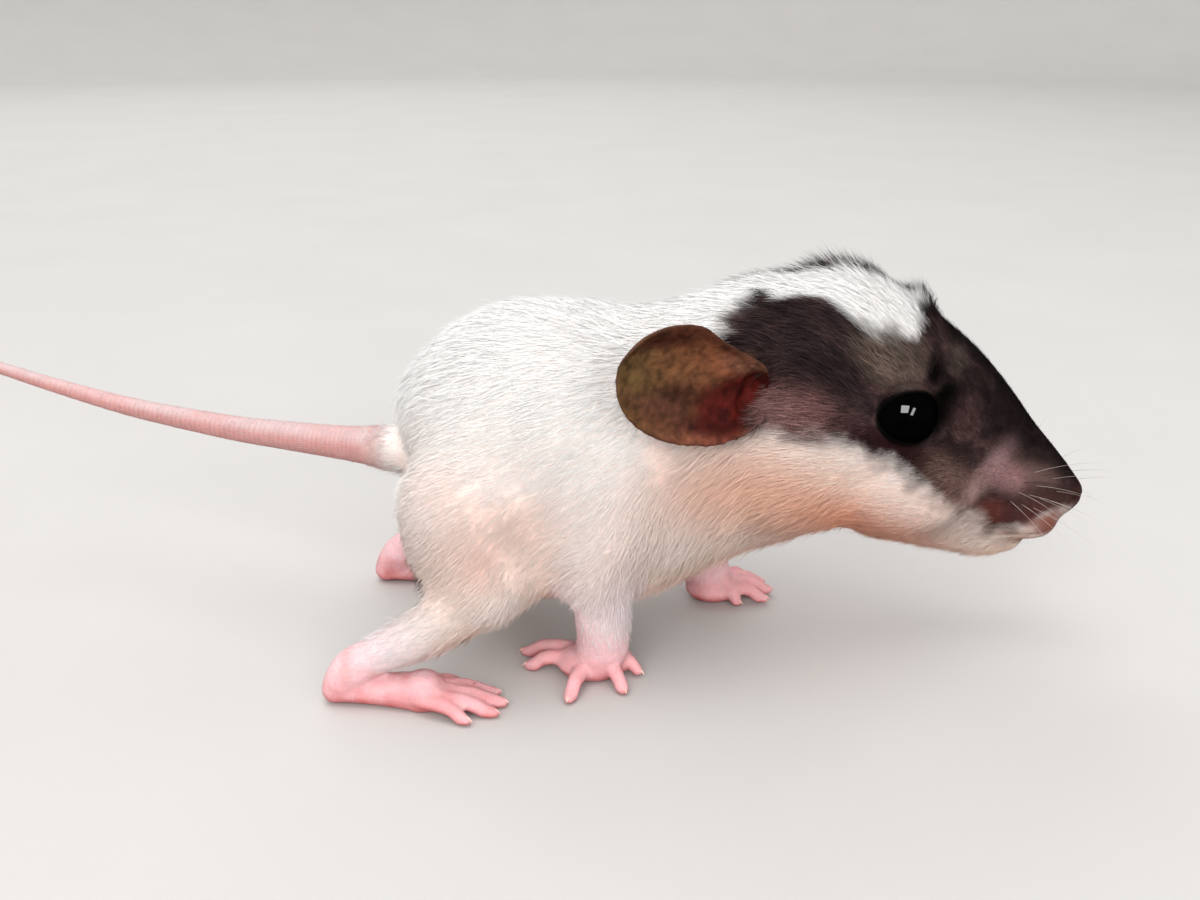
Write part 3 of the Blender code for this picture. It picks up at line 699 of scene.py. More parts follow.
co = points_of(skin.data)
s_, v_, y_ = head_axes(co)
LID = np.zeros(len(co))
for side in (-1, 1):
    c, out, e1, e2 = EYES[side]
    rho, h, a, b = eye_axes(co, side)
    zone = (rho < 2.1) & (h > -1.0)
    globe = np.sqrt(np.maximum(EYE_R ** 2 - a * a - b * b, 0.0))
    # inside the opening the skin turns in behind the eyeball's front
    rim_height = globe + 0.06
    rim = np.exp(-((rho - 1.10) / 0.10) ** 2)
    outside = h + (np.maximum(rim_height, h - 0.60) - h) * ramp(-rho, -1.55, -1.08)
    outside = outside + 0.09 * rim
    inside = globe - 1.1 * ramp(-rho, -1.04, -0.86) - 0.3
    target = np.where(rho > 1.06, outside, inside + (outside - inside) * ramp(rho, 0.96, 1.06))
    co = np.where(zone[:, None], co + (target - h)[:, None] * out, co)
    LID = np.maximum(LID, np.where(zone, ramp(-rho, -1.6, -1.15), 0.0))

# nostrils, the groove under the nose, the mouth
s_, v_, y_ = head_axes(co)
no = normals_of(skin.data)
for side in (-1, 1):
    d = np.sqrt(((s_ - 0.75) / 0.62) ** 2 + ((v_ + 0.55 + 0.35 * (s_ - 0.6)) / 0.30) ** 2 + ((y_ - side * 1.35) / 0.75) ** 2)
    co = co - no * (0.50 * np.exp(-d ** 2))[:, None]
groove = 0.28 * np.exp(-(y_ / 0.22) ** 2) * ramp(-s_, -3.4, -1.6) * ramp(-v_, 0.9, 1.8)
co = co - no * groove[:, None]
line_v = -4.9 - 0.62 * (s_ - 2.6)
mouth = 0.24 * np.exp(-((v_ - line_v) / 0.30) ** 2) * ramp(s_, 1.6, 2.6) * ramp(-s_, -6.5, -4.5)
co = co - no * mouth[:, None]
# the ear canal
for side in (NEAR, FAR):
    root, along, across, normal = ear_frame(side)
    facing = ramp(no @ normal, -0.1, 0.4)
    deep = 0.30 + 1.35 * ramp(-((co - root) @ along), -3.3, -1.4)
    co = co - normal * (deep * canal(co, side) * facing)[:, None]
set_points(skin.data, co)
tight = np.zeros(len(co))
for side in (-1, 1):
    rho, h, a, b = eye_axes(co, side)
    tight = np.maximum(tight, np.where((rho < 1.7) & (h > -1.5), 1.0, 0.0))
co = ease(co, edges_of(skin.data), 2, weight=np.maximum(tight * 0.6, 0.12))
set_points(skin.data, co)


def thin_out(obj, keep, most):
    """Fewer faces where keep is low, so that the whole has at most so many triangles."""
    faces = sum(len(p.vertices) - 2 for p in obj.data.polygons)
    if faces <= most:
        return obj
    group = obj.vertex_groups.new(name="thin")
    levels = np.round(np.clip(1 - keep, 0, 1) * 10) / 10
    for level in np.unique(levels):
        group.add([int(i) for i in np.where(levels == level)[0]], float(level), "REPLACE")
    m = obj.modifiers.new("thin", "DECIMATE")
    m.ratio = most / faces
    m.vertex_group = "thin"
    m.vertex_group_factor = 4.0
    settle(obj)
    obj.vertex_groups.clear()
    return obj


def face_keep(p):
    s, v, y = head_axes(p)
    keep = 0.75 * ramp(-s, -30.0, -20.0) + 0.25
    keep = np.maximum(keep, 0.8 * ramp(-p[:, 2], -5.5, -4.0))
    keep = np.maximum(keep, 0.7 * ramp(-p[:, 0], 20.5, 22.0))
    for side in (NEAR, FAR):
        u, w, h = ear_axes(p, side)
        keep = np.where((u > 0.0) & (u < 1.03) & (abs(w) < 1.1) & (abs(h) < 2.5), 0.9, keep)
        rho, h, a, b = eye_axes(p, side)
        keep = np.where((rho < 1.8) & (h > -1), 1.0, keep)
    return keep


thin_out(skin, face_keep(co), 176000)
bm = bmesh.new()
bm.from_mesh(skin.data)
bmesh.ops.triangulate(bm, faces=bm.faces)
bm.to_mesh(skin.data)
bm.free()
co = points_of(skin.data)
low = co[:, 2] < 0.0
co[low, 2] = 0.0        # soles stand flat
set_points(skin.data, co)
no = normals_of(skin.data)

# ---------------------------------------------------------------- colours
def lin(rgb):
    c = np.array(rgb, float) / 255.0
    return np.where(c <= 0.04045, c / 12.92, ((c + 0.055) / 1.055) ** 2.4)


def table(x, rows):
    """Value at x on the smooth-enough line through rows of (x, value)."""
    a = np.array(rows, float)
    a = a[np.argsort(a[:, 0])]
    return np.interp(x, a[:, 0], a[:, 1])


MASK_LOW = [(-1, -2.1), (1.5, -2.3), (3.0, -2.9), (4.4, -4.0), (5.3, -5.2), (6.4, -6.1), (7.4, -6.6), (8.7, -6.5), (10.4, -5.9),
            (12.4, -6.0), (14.5, -5.5), (17.7, -4.8), (21.0, -4.0), (24.0, -3.5), (27.0, -3.6), (29.5, -4.0),
            (31.7, -4.7), (33.8, -5.5), (36.2, -6.7), (38.0, -7.2)]                       # lower edge: s, v
MASK_REAR = [(-8, 37.0), (-6, 38.5), (-3, 41.0), (0, 42.0), (2, 41.8), (4, 41.0), (5.5, 39.6), (9, 38.4)]   # rear edge: v, s
# the white blaze, by angle round the head's middle line at v = -4, degrees from the crest
BLAZE_NEAR = [(24.0, 23.0), (25.5, 25.0), (26.9, 26.5), (28.5, 28.0), (30.9, 28.5), (33.1, 26.0), (35.7, 20.5),
              (37.4, 21.5), (38.6, 25.0), (39.7, 18.5), (41.0, 25.0)]
BLAZE_FAR = [(24.5, 2.0), (30, 0.5), (36, 1.0), (38.6, 8.0), (41, 18.0)]
BLAZE_FRONT = 24.9

# patches within the mask: s, v, reach along s, reach along v, colour, strength
PATCHES = [
    (35.5, 3.5, 4.6, 3.2, (38, 28, 30), 0.65),
    (27.8, 4.9, 2.4, 1.8, (99, 85, 75), 0.74),
    (25.2, 5.6, 1.8, 1.8, (84, 72, 65), 0.60),
    (31.6, 2.0, 2.8, 1.5, (34, 24, 26), 0.75),
    (32.0, -2.6, 2.8, 1.9, (122, 86, 84), 0.85),
    (35.0, -3.6, 2.0, 1.8, (130, 96, 93), 0.75),
    (28.2, -1.8, 1.8, 1.2, (68, 46, 48), 0.75),
    (28.4, 1.0, 1.4, 1.5, (40, 28, 30), 0.70),
    (22.2, -2.3, 4.4, 1.2, (34, 13, 16), 0.97),
    (17.0, -2.4, 2.2, 1.3, (100, 78, 70), 0.80),
    (15.6, -0.6, 1.5, 1.1, (44, 32, 32), 0.60),
    (20.0, 2.3, 1.6, 1.9, (5, 2, 2), 1.0),
    (20.6, 4.2, 1.3, 1.5, (5, 2, 2), 1.0),
    (22.5, 5.5, 0.9, 1.1, (10, 5, 5), 1.0),
    (20.0, 7.4, 1.0, 1.3, (84, 72, 66), 0.50),
    (16.9, 6.2, 1.7, 1.5, (32, 22, 23), 0.80),
    (13.8, 4.9, 1.8, 1.2, (34, 24, 25), 0.70),
    (15.2, -5.2, 2.8, 1.1, (142, 112, 100), 0.80),
    (17.0, 2.6, 1.6, 1.4, (66, 46, 46), 0.60),
    (14.9, -3.2, 1.9, 1.2, (108, 82, 76), 0.75),
    (12.4, 3.6, 2.2, 1.4, (40, 28, 30), 0.60),
    (10.8, 1.6, 1.1, 1.2, (104, 80, 82), 0.60),
    (11.6, -0.2, 1.2, 1.3, (140, 110, 112), 0.80),
    (12.2, -2.0, 1.2, 1.3, (132, 104, 102), 0.80),
    (12.9, -3.8, 1.2, 1.2, (150, 122, 116), 0.85),
    (9.2, -1.0, 2.0, 1.3, (144, 108, 109), 0.80),
    (6.6, 0.4, 2.2, 0.9, (112, 88, 84), 0.60),
    (5.2, -1.6, 2.0, 0.8, (66, 48, 46), 0.70),
    (9.2, -5.2, 1.8, 1.4, (98, 48, 41), 0.85),
    (5.6, -4.2, 2.4, 1.5, (62, 38, 38), 0.85),
    (3.0, -1.6, 1.8, 0.8, (52, 38, 36), 0.70),
    (0.6, -0.8, 1.2, 1.6, (62, 36, 33), 0.85),
]


def mask_share(p, rough=1.0):
    """1 in the dark mask, 0 in the white and cream parts."""
    s, v, y = head_axes(p)
    wob = (noise(p, 1.9, 1) * 0.55 + noise(p, 0.7, 2) * 0.35) * rough
    low = v - table(s, MASK_LOW)
    low_soft = 1.15 + 0.10 * ramp(s, 9, 14) + 0.20 * ramp(s, 24, 30)
    rear = table(v, MASK_REAR) - s
    turn = np.degrees(np.arctan2(y, v + 4.0))
    blaze = np.maximum(np.maximum(-turn - table(s, BLAZE_NEAR), turn - table(s, BLAZE_FAR)) * 0.2, BLAZE_FRONT - s)
    soft = 0.45 + 0.75 * np.exp(-((s - 28.0) / 3.5) ** 2) * (y < -3)
    blaze = np.where(v > 0.5, blaze, 9.0)
    m = np.minimum(np.minimum(ramp(low + wob * 0.9, -low_soft, low_soft), ramp(rear + wob, -0.9, 0.9)),
                   ramp(blaze + wob * 0.8, -soft, soft))
    return np.where(s < 43.5, m, 0.0)


def coat_colour(p, n, lengthways=None, rough=1.0):
    """Colour of the coat (and of the skin under it) at points p with outward directions n, linear RGB."""
    q = p if lengthways is None else p + lengthways
    s, v, y = head_axes(q)
    x, z = q[:, 0], q[:, 2]
    white = lin((247, 246, 244))
    side_white_shaded = lin((241, 235, 232))
    cream = lin((238, 212, 196))
    peach_skin_and_bounce = lin((222, 170, 148))
    down = np.clip(-n[:, 2], 0, 1)
    col = np.outer(np.ones(len(q)), white)
    # painted shade: faces turned sideways get a greyer white than faces turned up
    k = ramp(-n[:, 2], -0.45, 0.25)[:, None]
    col = col * (1 - k) + side_white_shaded * k
    # warmer low on the flank, throat and chest and on faces turned down: partly pink skin where the coat thins, partly
    # painted warm light bounced up from below
    k = (ramp(-n[:, 2], 0.05, 0.75) * (0.35 + 0.45 * ramp(-z, -16.0, -9.0)))[:, None]
    k = np.clip(k + 0.25 * (noise(q, 5.0, 4) * ramp(-n[:, 2], -0.2, 0.4))[:, None], 0, 1)
    col = col * (1 - k) + cream * k
    k = (ramp(-n[:, 2], 0.45, 0.95) * ramp(-z, -19.0, -11.0) * 0.75)[:, None]
    col = col * (1 - k) + peach_skin_and_bounce * k
    k = (0.34 * ramp(-z, -21.0, -11.0) * ramp(-x, -9.0, -4.0) * np.clip(1 + 0.6 * noise(q, 6.0, 5), 0, 1.5))[:, None]
    col = col * (1 - k) + cream * k
    # cheek and throat; the throat's peach is partly pink skin under thin fur, partly painted warm light bounced up from
    # below
    throat = np.exp(-((s - 23.5) / 12.0) ** 2 - ((v + 10.8) / 4.4) ** 2) * (s < 44)
    k = (0.92 * throat)[:, None]
    col = col * (1 - k) + lin((241, 160, 127)) * k
    cheek = np.exp(-((s - 24.0) / 12.0) ** 2 - ((v + 6.4) / 2.2) ** 2)
    k = (0.55 * cheek)[:, None]
    col = col * (1 - k) + lin((253, 228, 214)) * k
    # the neck below the ear is a warmer cream; the flank before the thigh is warmer too, partly its own cream, partly
    # painted warm light reflected from below
    warm = np.exp(-((x - 12.0) / 9.0) ** 2 - ((z - 20.0) / 5.0) ** 2)
    k = (0.74 * warm * ramp(abs(y), 3.0, 7.0))[:, None]
    col = col * (1 - k) + lin((244, 190, 162)) * k
    # flank before the thigh: partly painted warm reflected light
    warm = np.exp(-((x + 12.0) / 8.5) ** 2 - ((z - 17.5) / 6.5) ** 2) * np.clip(1 + 0.35 * noise(q, 4.0, 6), 0, 1.3)
    k = (0.70 * warm * ramp(abs(y), 3.0, 7.0))[:, None]
    col = col * (1 - k) + lin((230, 192, 177)) * k
    # forelegs, a cool pale pink toward the wrist
    k = (ramp(-up_the_limb(q), -11.0, -3.0) * 0.75)[:, None]
    col = col * (1 - k) + lin((253, 234, 238)) * k
    # chin
    k = (np.exp(-((s - 5.5) / 3.5) ** 2 - ((v + 9.2) / 1.8) ** 2) * 0.6)[:, None]
    col = col * (1 - k) + lin((240, 203, 181)) * k
    # the mask
    dark = np.outer(np.ones(len(q)), lin((47, 34, 35)))
    vary = noise(q, 2.6, 7) * 0.50 + noise(q, 0.9, 8) * 0.80 + noise(q, 0.42, 10) * 0.55
    k = (np.clip(0.20 + 0.60 * vary, 0, 1) * 0.6)[:, None]
    dark = dark * (1 - k) + lin((92, 70, 66)) * k
    k = (np.clip(-0.15 - 0.8 * vary, 0, 1) * 0.7)[:, None]
    dark = dark * (1 - k) + lin((20, 12, 13)) * k
    for ps, pv, rs, rv, rgb, much in PATCHES:
        g = ((s - ps) / rs) ** 2 + ((v - pv) / rv) ** 2
        g = np.exp(-0.55 * (g * (1 + 0.30 * vary * rough)) ** 1.6) * much
        dark = dark * (1 - g[:, None]) + lin(rgb) * g[:, None]
    ridge = np.exp(-(y / (3.6 + 0.9 * noise(q, 2.2, 9))) ** 4) * ramp(-s, -25.0, -23.0) * ramp(v, -0.5, 1.5)
    dark = dark * (1 - 0.88 * ridge[:, None]) + lin((17, 11, 12)) * 0.88 * ridge[:, None]
    m = mask_share(q, rough)[:, None]
    col = col * (1 - m) + dark * m
    # the mouth's brown corner of fur
    g = ((s - 3.0) / 2.5) ** 2 + ((v + 3.9) / 1.9) ** 2
    g = np.exp(-0.60 * (g * (1 + 0.30 * vary)) ** 1.15) * 0.95 * (0.12 + 0.88 * ramp(abs(y), 0.3, 1.4))
    g = g * (1 - 0.75 * ramp(v - table(s, MASK_LOW), 0.0, 1.2))
    col = col * (1 - g[:, None]) + lin((108, 44, 20)) * g[:, None]
    return col


def skin_parts(p):
    """Shares of ear, tail and foot at points p."""
    ear = np.zeros(len(p))
    for side in (NEAR, FAR):
        u, w, h = ear_axes(p, side)
        ear = np.maximum(ear, ramp(u, 0.03, 0.14) * (u < 1.06) * (abs(w) < 1.2) * (h > -3.0) * (h < 1.8)
                         * (p[:, 1] * side > 6.0))
    share, dist, radius = tail_axes(p)
    tail = ramp(-p[:, 0], 19.8, 24.6) * (dist < radius * 1.5 + 0.3)
    foot = ramp(-p[:, 2], -4.8, -3.6) * (abs(p[:, 1]) > 3.0)
    foot = np.maximum(foot, ramp(-p[:, 0], 22.2, 24.2) * (abs(p[:, 1]) > 9.5) * (p[:, 2] < 9))
    foot = np.where(dist < radius * 1.5 + 0.3, 0.0, foot)
    return ear, tail, foot, share


def skin_colour(p, n):
    col = coat_colour(p, n, rough=0.6)
    pale = ramp(col.mean(1), 0.25, 0.6)[:, None]
    col = col * (1 - pale) + col * np.array([0.98, 0.87, 0.83]) * pale
    reach = up_the_limb(p)
    leg = (ramp(-reach, -9.0, -2.0) * 0.9)[:, None]
    near = ramp(-reach, -3.4, -0.4)[:, None]
    col = col * (1 - leg) + (lin((245, 214, 218)) * (1 - near) + lin((232, 182, 187)) * near) * leg
    s, v, y = head_axes(p)
    ear, tail, foot, share = skin_parts(p)
    # feet: pink, paler on top, redder between and under the toes: partly the pads' own red, partly painted shade on
    # faces turned down
    pink = np.outer(np.ones(len(p)), lin((234, 176, 180)))
    k = (ramp(p[:, 2], 1.8, 4.2) * 0.75)[:, None]
    pink = pink * (1 - k) + lin((238, 202, 206)) * k
    red = lin((212, 104, 102))
    # painted shade: faces turned down near the ground go a darker red, with random red mottling on top
    k = np.clip(ramp(-n[:, 2], -0.15, 0.6) * 0.62 * ramp(-p[:, 2], -2.6, -1.0) + 0.28 * np.clip(noise(p, 1.4, 21), 0, 1), 0, 1)[:, None]
    pink = pink * (1 - k) + red * k
    col = col * (1 - foot[:, None]) + pink * foot[:, None]
    # tail: pale pink, a little greyer above
    tcol = np.outer(np.ones(len(p)), lin((196, 143, 139)))
    k = (ramp(n[:, 2], 0.1, 0.8) * 0.80)[:, None]
    tcol = tcol * (1 - k) + lin((205, 184, 184)) * k
    k = (0.3 * np.clip(noise(p, 3.5, 23), 0, 1))[:, None]
    tcol = tcol * (1 - k) + lin((210, 146, 142)) * k
    col = col * (1 - tail[:, None]) + tcol * tail[:, None]
    # ears
    for side in (NEAR, FAR):
        u, w, h = ear_axes(p, side)
        root, along, across, normal = ear_frame(side)
        inner = ramp(n @ normal, -0.15, 0.25)
        e = np.outer(np.ones(len(p)), lin((112, 72, 46)))
        blot = noise(p, 2.2, 31) * 0.5 + noise(p, 0.8, 32) * 0.5
        for pu, pw, ru, rw, rgb, much in (
                (0.92, -0.10, 0.22, 0.90, (104, 80, 46), 0.9),
                (0.40, 0.48, 0.26, 0.36, (142, 84, 54), 0.9),
                (0.62, 0.20, 0.20, 0.30, (116, 76, 48), 0.7),
                (0.22, 0.72, 0.16, 0.26, (126, 84, 66), 0.8),
                (0.76, 0.72, 0.20, 0.20, (70, 28, 18), 0.9),
                (0.50, 0.90, 0.20, 0.12, (82, 36, 22), 0.8),
                (0.56, -0.26, 0.12, 0.19, (62, 30, 22), 0.9),
                (0.68, -0.46, 0.10, 0.16, (74, 48, 36), 0.7),
                (0.42, -0.70, 0.16, 0.14, (58, 22, 18), 0.9),
                (0.68, -0.62, 0.22, 0.26, (96, 56, 42), 0.7),
                (0.28, -0.93, 0.24, 0.12, (150, 88, 68), 0.9),
                # the dark reds near the root: partly the ear's red skin, partly painted shadow of the canal
                (0.27, -0.40, 0.15, 0.40, (88, 22, 17), 1.0),
                (0.17, 0.02, 0.13, 0.42, (76, 15, 12), 1.0),
                (0.09, 0.45, 0.09, 0.34, (62, 16, 14), 0.95),
                (0.12, -0.62, 0.13, 0.30, (84, 22, 18), 1.0),
                (0.02, 0.00, 0.08, 0.60, (66, 18, 16), 0.9)):
            g = ((u - pu) / ru) ** 2 + ((w - pw) / rw) ** 2
            g = np.exp(-0.55 * (g * (1 + 0.40 * blot)) ** 1.5) * much
            e = e * (1 - g[:, None]) + lin(rgb) * g[:, None]
        speck = np.clip(noise(p, 0.55, 33) * 0.6 + noise(p, 0.32, 34) * 0.6, -1, 1)
        e = e * (0.80 * (1 + 0.42 * speck))[:, None]
        rim = ramp(np.maximum(abs(w), abs(2 * u - 1)), 0.90, 0.99)
        e = e * (1 - 0.5 * rim[:, None]) + lin((58, 32, 26)) * 0.5 * rim[:, None]
        outer = lin((92, 66, 60))
        e = outer * (1 - inner[:, None]) + e * inner[:, None]
        k = ear * (p[:, 1] * side > 6.0)
        col = col * (1 - k[:, None]) + e * k[:, None]
        # the canal: partly red skin, partly painted shadow in its hollow
        k = ramp(canal(p, side) * (1 + 0.30 * blot), 0.15, 0.70) * ramp(n @ normal, -0.3, 0.2)
        canal_red_and_shadow = np.outer(1 + 0.45 * np.clip(noise(p, 1.1, 36) + 0.5 * noise(p, 0.45, 37), -1, 1), lin((78, 20, 15)))
        col = col * (1 - k[:, None]) + canal_red_and_shadow * k[:, None]
        # dark bare rims of the lids
        rho, h, a, b = eye_axes(p, side)
        k = np.where((rho < 1.7) & (h > -1.5), ramp(-rho, -1.22, -1.08), 0.0)
        col = col * (1 - k[:, None]) + lin((8, 5, 5)) * k[:, None]
    # nose tip, and painted shadow inside the nostrils
    k = ramp(-s, -1.5, -0.5) * ramp(v, -3.0, -2.0) * 0.8
    col = col * (1 - k[:, None]) + lin((70, 44, 42)) * k[:, None]
    for side in (-1, 1):
        d = np.sqrt(((s - 0.75) / 0.5) ** 2 + ((v + 0.55) / 0.32) ** 2 + ((y - side * 1.35) / 0.6) ** 2)
        k = np.exp(-d ** 2) * 0.9
        col = col * (1 - k[:, None]) + lin((22, 12, 12)) * k[:, None]
    return col, ear, tail, foot, share


def put_colour(mesh, name, rgb):
    attr = mesh.color_attributes.new(name=name, type="FLOAT_COLOR", domain="POINT")
    rgba = np.ones((len(rgb), 4), np.float32)
    rgba[:, :3] = rgb
    attr.data.foreach_set("color", rgba.ravel())


def put_value(mesh, name, values):
    attr = mesh.attributes.new(name=name, type="FLOAT", domain="POINT")
    attr.data.foreach_set("value", np.ascontiguousarray(values, np.float32))


rgb, EAR, TAILED, FOOT, SHARE = skin_colour(co, no)
put_colour(skin.data, "Coat", rgb)
put_value(skin.data, "along", SHARE * 62.0)

# ---------------------------------------------------------------- materials
def new_material(name):
    mat = bpy.data.materials.new(name)
    mat.use_nodes = True
    tree = mat.node_tree
    tree.nodes.clear()
    out = tree.nodes.new("ShaderNodeOutputMaterial")
    bsdf = tree.nodes.new("ShaderNodeBsdfPrincipled")
    tree.links.new(bsdf.outputs[0], out.inputs[0])
    return mat, tree, bsdf


def node(tree, kind, **values):
    n = tree.nodes.new(kind)
    for k, v in values.items():
        if hasattr(n, k):
            setattr(n, k, v)
        else:
            n.inputs[k.replace("_", " ")].default_value = v
    return n


def painted(tree, bsdf, scale, swing, seed=0.0):
    """Base colour: the markings, lightly mottled."""
    col = node(tree, "ShaderNodeVertexColor", layer_name="Coat")
    coord = node(tree, "ShaderNodeTexCoord")
    tex = node(tree, "ShaderNodeTexNoise", Scale=scale, Detail=3.0, Roughness=0.6)
    tree.links.new(coord.outputs["Object"], tex.inputs["Vector"])
    span = node(tree, "ShaderNodeMapRange", From_Min=0.25, From_Max=0.75, To_Min=1 - swing, To_Max=1 + swing * 0.6)
    tree.links.new(tex.outputs["Fac"], span.inputs["Value"])
    mul = node(tree, "ShaderNodeVectorMath", operation="SCALE")
    tree.links.new(col.outputs["Color"], mul.inputs[0])
    tree.links.new(span.outputs[0], mul.inputs["Scale"])
    tree.links.new(mul.outputs[0], bsdf.inputs["Base Color"])
    return coord


def bumped(tree, bsdf, coord, layers, distance):
    """Fine relief from noise layers (scale, strength, detail)."""
    height = None
    for scale, strength, detail in layers:
        tex = node(tree, "ShaderNodeTexNoise", Scale=scale, Detail=detail, Roughness=0.55)
        tree.links.new(coord.outputs["Object"], tex.inputs["Vector"])
        m = node(tree, "ShaderNodeMath", operation="MULTIPLY")
        m.inputs[1].default_value = strength
        tree.links.new(tex.outputs["Fac"], m.inputs[0])
        if height is None:
            height = m
        else:
            a = node(tree, "ShaderNodeMath", operation="ADD")
            tree.links.new(height.outputs[0], a.inputs[0])
            tree.links.new(m.outputs[0], a.inputs[1])
            height = a
    bump = node(tree, "ShaderNodeBump")
    bump.inputs["Strength"].default_value = 1.0
    bump.inputs["Distance"].default_value = distance
    tree.links.new(height.outputs[0], bump.inputs["Height"])
    tree.links.new(bump.outputs[0], bsdf.inputs["Normal"])
    return height, bump


def rough_spread(tree, bsdf, coord, scale, low, high):
    tex = node(tree, "ShaderNodeTexNoise", Scale=scale, Detail=2.0)
    tree.links.new(coord.outputs["Object"], tex.inputs["Vector"])
    span = node(tree, "ShaderNodeMapRange", From_Min=0.3, From_Max=0.7, To_Min=low, To_Max=high)
    tree.links.new(tex.outputs["Fac"], span.inputs["Value"])
    tree.links.new(span.outputs[0], bsdf.inputs["Roughness"])


def flesh_look(bsdf, weight, radius_mm):
    bsdf.inputs["Subsurface Weight"].default_value = weight
    bsdf.inputs["Subsurface Radius"].default_value = (1.0, 0.42, 0.30)
    bsdf.inputs["Subsurface Scale"].default_value = radius_mm * 0.001
    bsdf.subsurface_method = "RANDOM_WALK"


m_under, tree, bsdf = new_material("skin_under_coat")
coord = painted(tree, bsdf, 900.0, 0.10)
bumped(tree, bsdf, coord, [(2600.0, 1.0, 3.0), (700.0, 0.6, 2.0)], 0.00012)
rough_spread(tree, bsdf, coord, 500.0, 0.74, 0.90)
bsdf.inputs["Specular IOR Level"].default_value = 0.08

m_foot, tree, bsdf = new_material("skin_foot")
coord = painted(tree, bsdf, 700.0, 0.10)
bumped(tree, bsdf, coord, [(1500.0, 1.0, 4.0), (420.0, 0.8, 2.0), (5200.0, 0.35, 2.0)], 0.00013)
rough_spread(tree, bsdf, coord, 600.0, 0.42, 0.60)
bsdf.inputs["Specular IOR Level"].default_value = 0.42
flesh_look(bsdf, 0.40, 0.8)

m_ear, tree, bsdf = new_material("skin_ear")
coord = painted(tree, bsdf, 1800.0, 0.26)
bumped(tree, bsdf, coord, [(3400.0, 1.0, 3.0), (520.0, 0.8, 3.0)], 0.00010)
rough_spread(tree, bsdf, coord, 700.0, 0.58, 0.78)
bsdf.inputs["Specular IOR Level"].default_value = 0.16
flesh_look(bsdf, 0.15, 0.4)

m_tail, tree, bsdf = new_material("skin_tail")
coord = painted(tree, bsdf, 800.0, 0.10)
height, bump = bumped(tree, bsdf, coord, [(1800.0, 0.5, 3.0), (600.0, 0.4, 2.0)], 0.00010)
ring = node(tree, "ShaderNodeAttribute", attribute_name="along")
turn = node(tree, "ShaderNodeMath", operation="MULTIPLY")
turn.inputs[1].default_value = 2 * math.pi / 0.52
wave = node(tree, "ShaderNodeMath", operation="SINE")
amount = node(tree, "ShaderNodeMath", operation="MULTIPLY_ADD")
amount.inputs[1].default_value = 0.20
tree.links.new(ring.outputs["Fac"], turn.inputs[0])
tree.links.new(turn.outputs[0], wave.inputs[0])
tree.links.new(wave.outputs[0], amount.inputs[0])
tree.links.new(height.outputs[0], amount.inputs[2])
tree.links.new(amount.outputs[0], bump.inputs["Height"])
rough_spread(tree, bsdf, coord, 600.0, 0.45, 0.62)
flesh_look(bsdf, 0.35, 0.7)

m_coat, tree, bsdf = new_material("coat")
coord = painted(tree, bsdf, 1400.0, 0.07)
bsdf.inputs["Roughness"].default_value = 0.70
bsdf.inputs["Specular IOR Level"].default_value = 0.07
bsdf.inputs["Sheen Weight"].default_value = 0.0
bsdf.inputs["Sheen Roughness"].default_value = 0.4

for m in (m_under, m_foot, m_ear, m_tail):
    skin.data.materials.append(m)
tri = np.empty(len(skin.data.polygons) * 3, np.int32)
skin.data.polygons.foreach_get("vertices", tri)
tri = tri.reshape(-1, 3)
share_of = np.stack([np.full(len(tri), 0.35), FOOT[tri].mean(1), EAR[tri].mean(1), TAILED[tri].mean(1)], 1)
which = share_of.argmax(1).astype(np.int32)
skin.data.polygons.foreach_set("material_index", which)
skin.data.polygons.foreach_set("use_smooth", np.ones(len(tri), bool))

# ---------------------------------------------------------------- the coat
# combing marks: a place (given on the left side) and the way the coat lies there; mirrored to the right
BACK = -AX
COMB = []


def comb(place_, way, reach=6.0):
    COMB.append((np.array(place_, float), unit(np.array(way, float)), reach))


comb(head_point(1.0, 0.3, 0.0), BACK, 3)
comb(head_point(3.0, -1.5, 2.6), BACK + 0.30 * AY, 3)
comb(head_point(4.5, -4.5, 3.6), BACK - 0.15 * AV + 0.25 * AY, 3)
comb(head_point(8.0, 4.2, 0.0), BACK + 0.10 * AV, 4)
comb(head_point(8.0, -3.0, 4.6), BACK - 0.20 * AV + 0.30 * AY, 4)
comb(head_point(7.0, -9.5, 1.0), BACK - 0.55 * AV, 4)
comb(head_point(16.0, 8.2, 0.0), BACK, 5)
comb(head_point(15.0, -3.0, 6.6), BACK - 0.30 * AV + 0.30 * AY, 5)
comb(head_point(17.0, 3.0, 6.6), BACK + 0.30 * AV, 4)
comb(head_point(25.0, 11.0, 0.0), BACK + 0.10 * AV, 6)
comb(head_point(24.0, 6.0, 7.4), BACK + 0.30 * AV, 4)
comb(head_point(22.5, -3.8, 9.2), BACK - 0.35 * AV + 0.15 * AY, 4)
comb(head_point(30.0, 4.0, 9.6), BACK + 0.20 * AV, 5)
comb(head_point(30.0, -4.5, 10.2), BACK - 0.35 * AV, 5)
comb(head_point(26.0, -11.0, 8.0), BACK - 0.50 * AV, 6)
comb(head_point(14.0, -11.0, 3.0), BACK - 0.25 * AV, 6)
comb(head_point(22.0, -15.0, 0.0), BACK - 0.10 * AV, 7)
comb(head_point(34.0, 10.0, 0.0), (-1, 0, 0.05), 6)
comb(head_point(38.0, 4.0, 7.0), (-1, 0, -0.05), 5)
comb((10.0, 9.0, 24.0), (-1, 0, -0.55), 7)
comb((8.0, 0.0, 36.0), (-1, 0, -0.05), 8)
comb((0.0, 0.0, 36.0), (-1, 0, 0.0), 10)
comb((-10.0, 0.0, 35.5), (-1, 0, -0.10), 8)
comb((-17.0, 0.0, 32.0), (-0.75, 0, -0.65), 5)
comb((-20.0, 0.0, 26.0), (-0.55, 0, -0.85), 4)
comb((-20.0, 0.0, 21.2), (-1, 0, 0.05), 3.5)
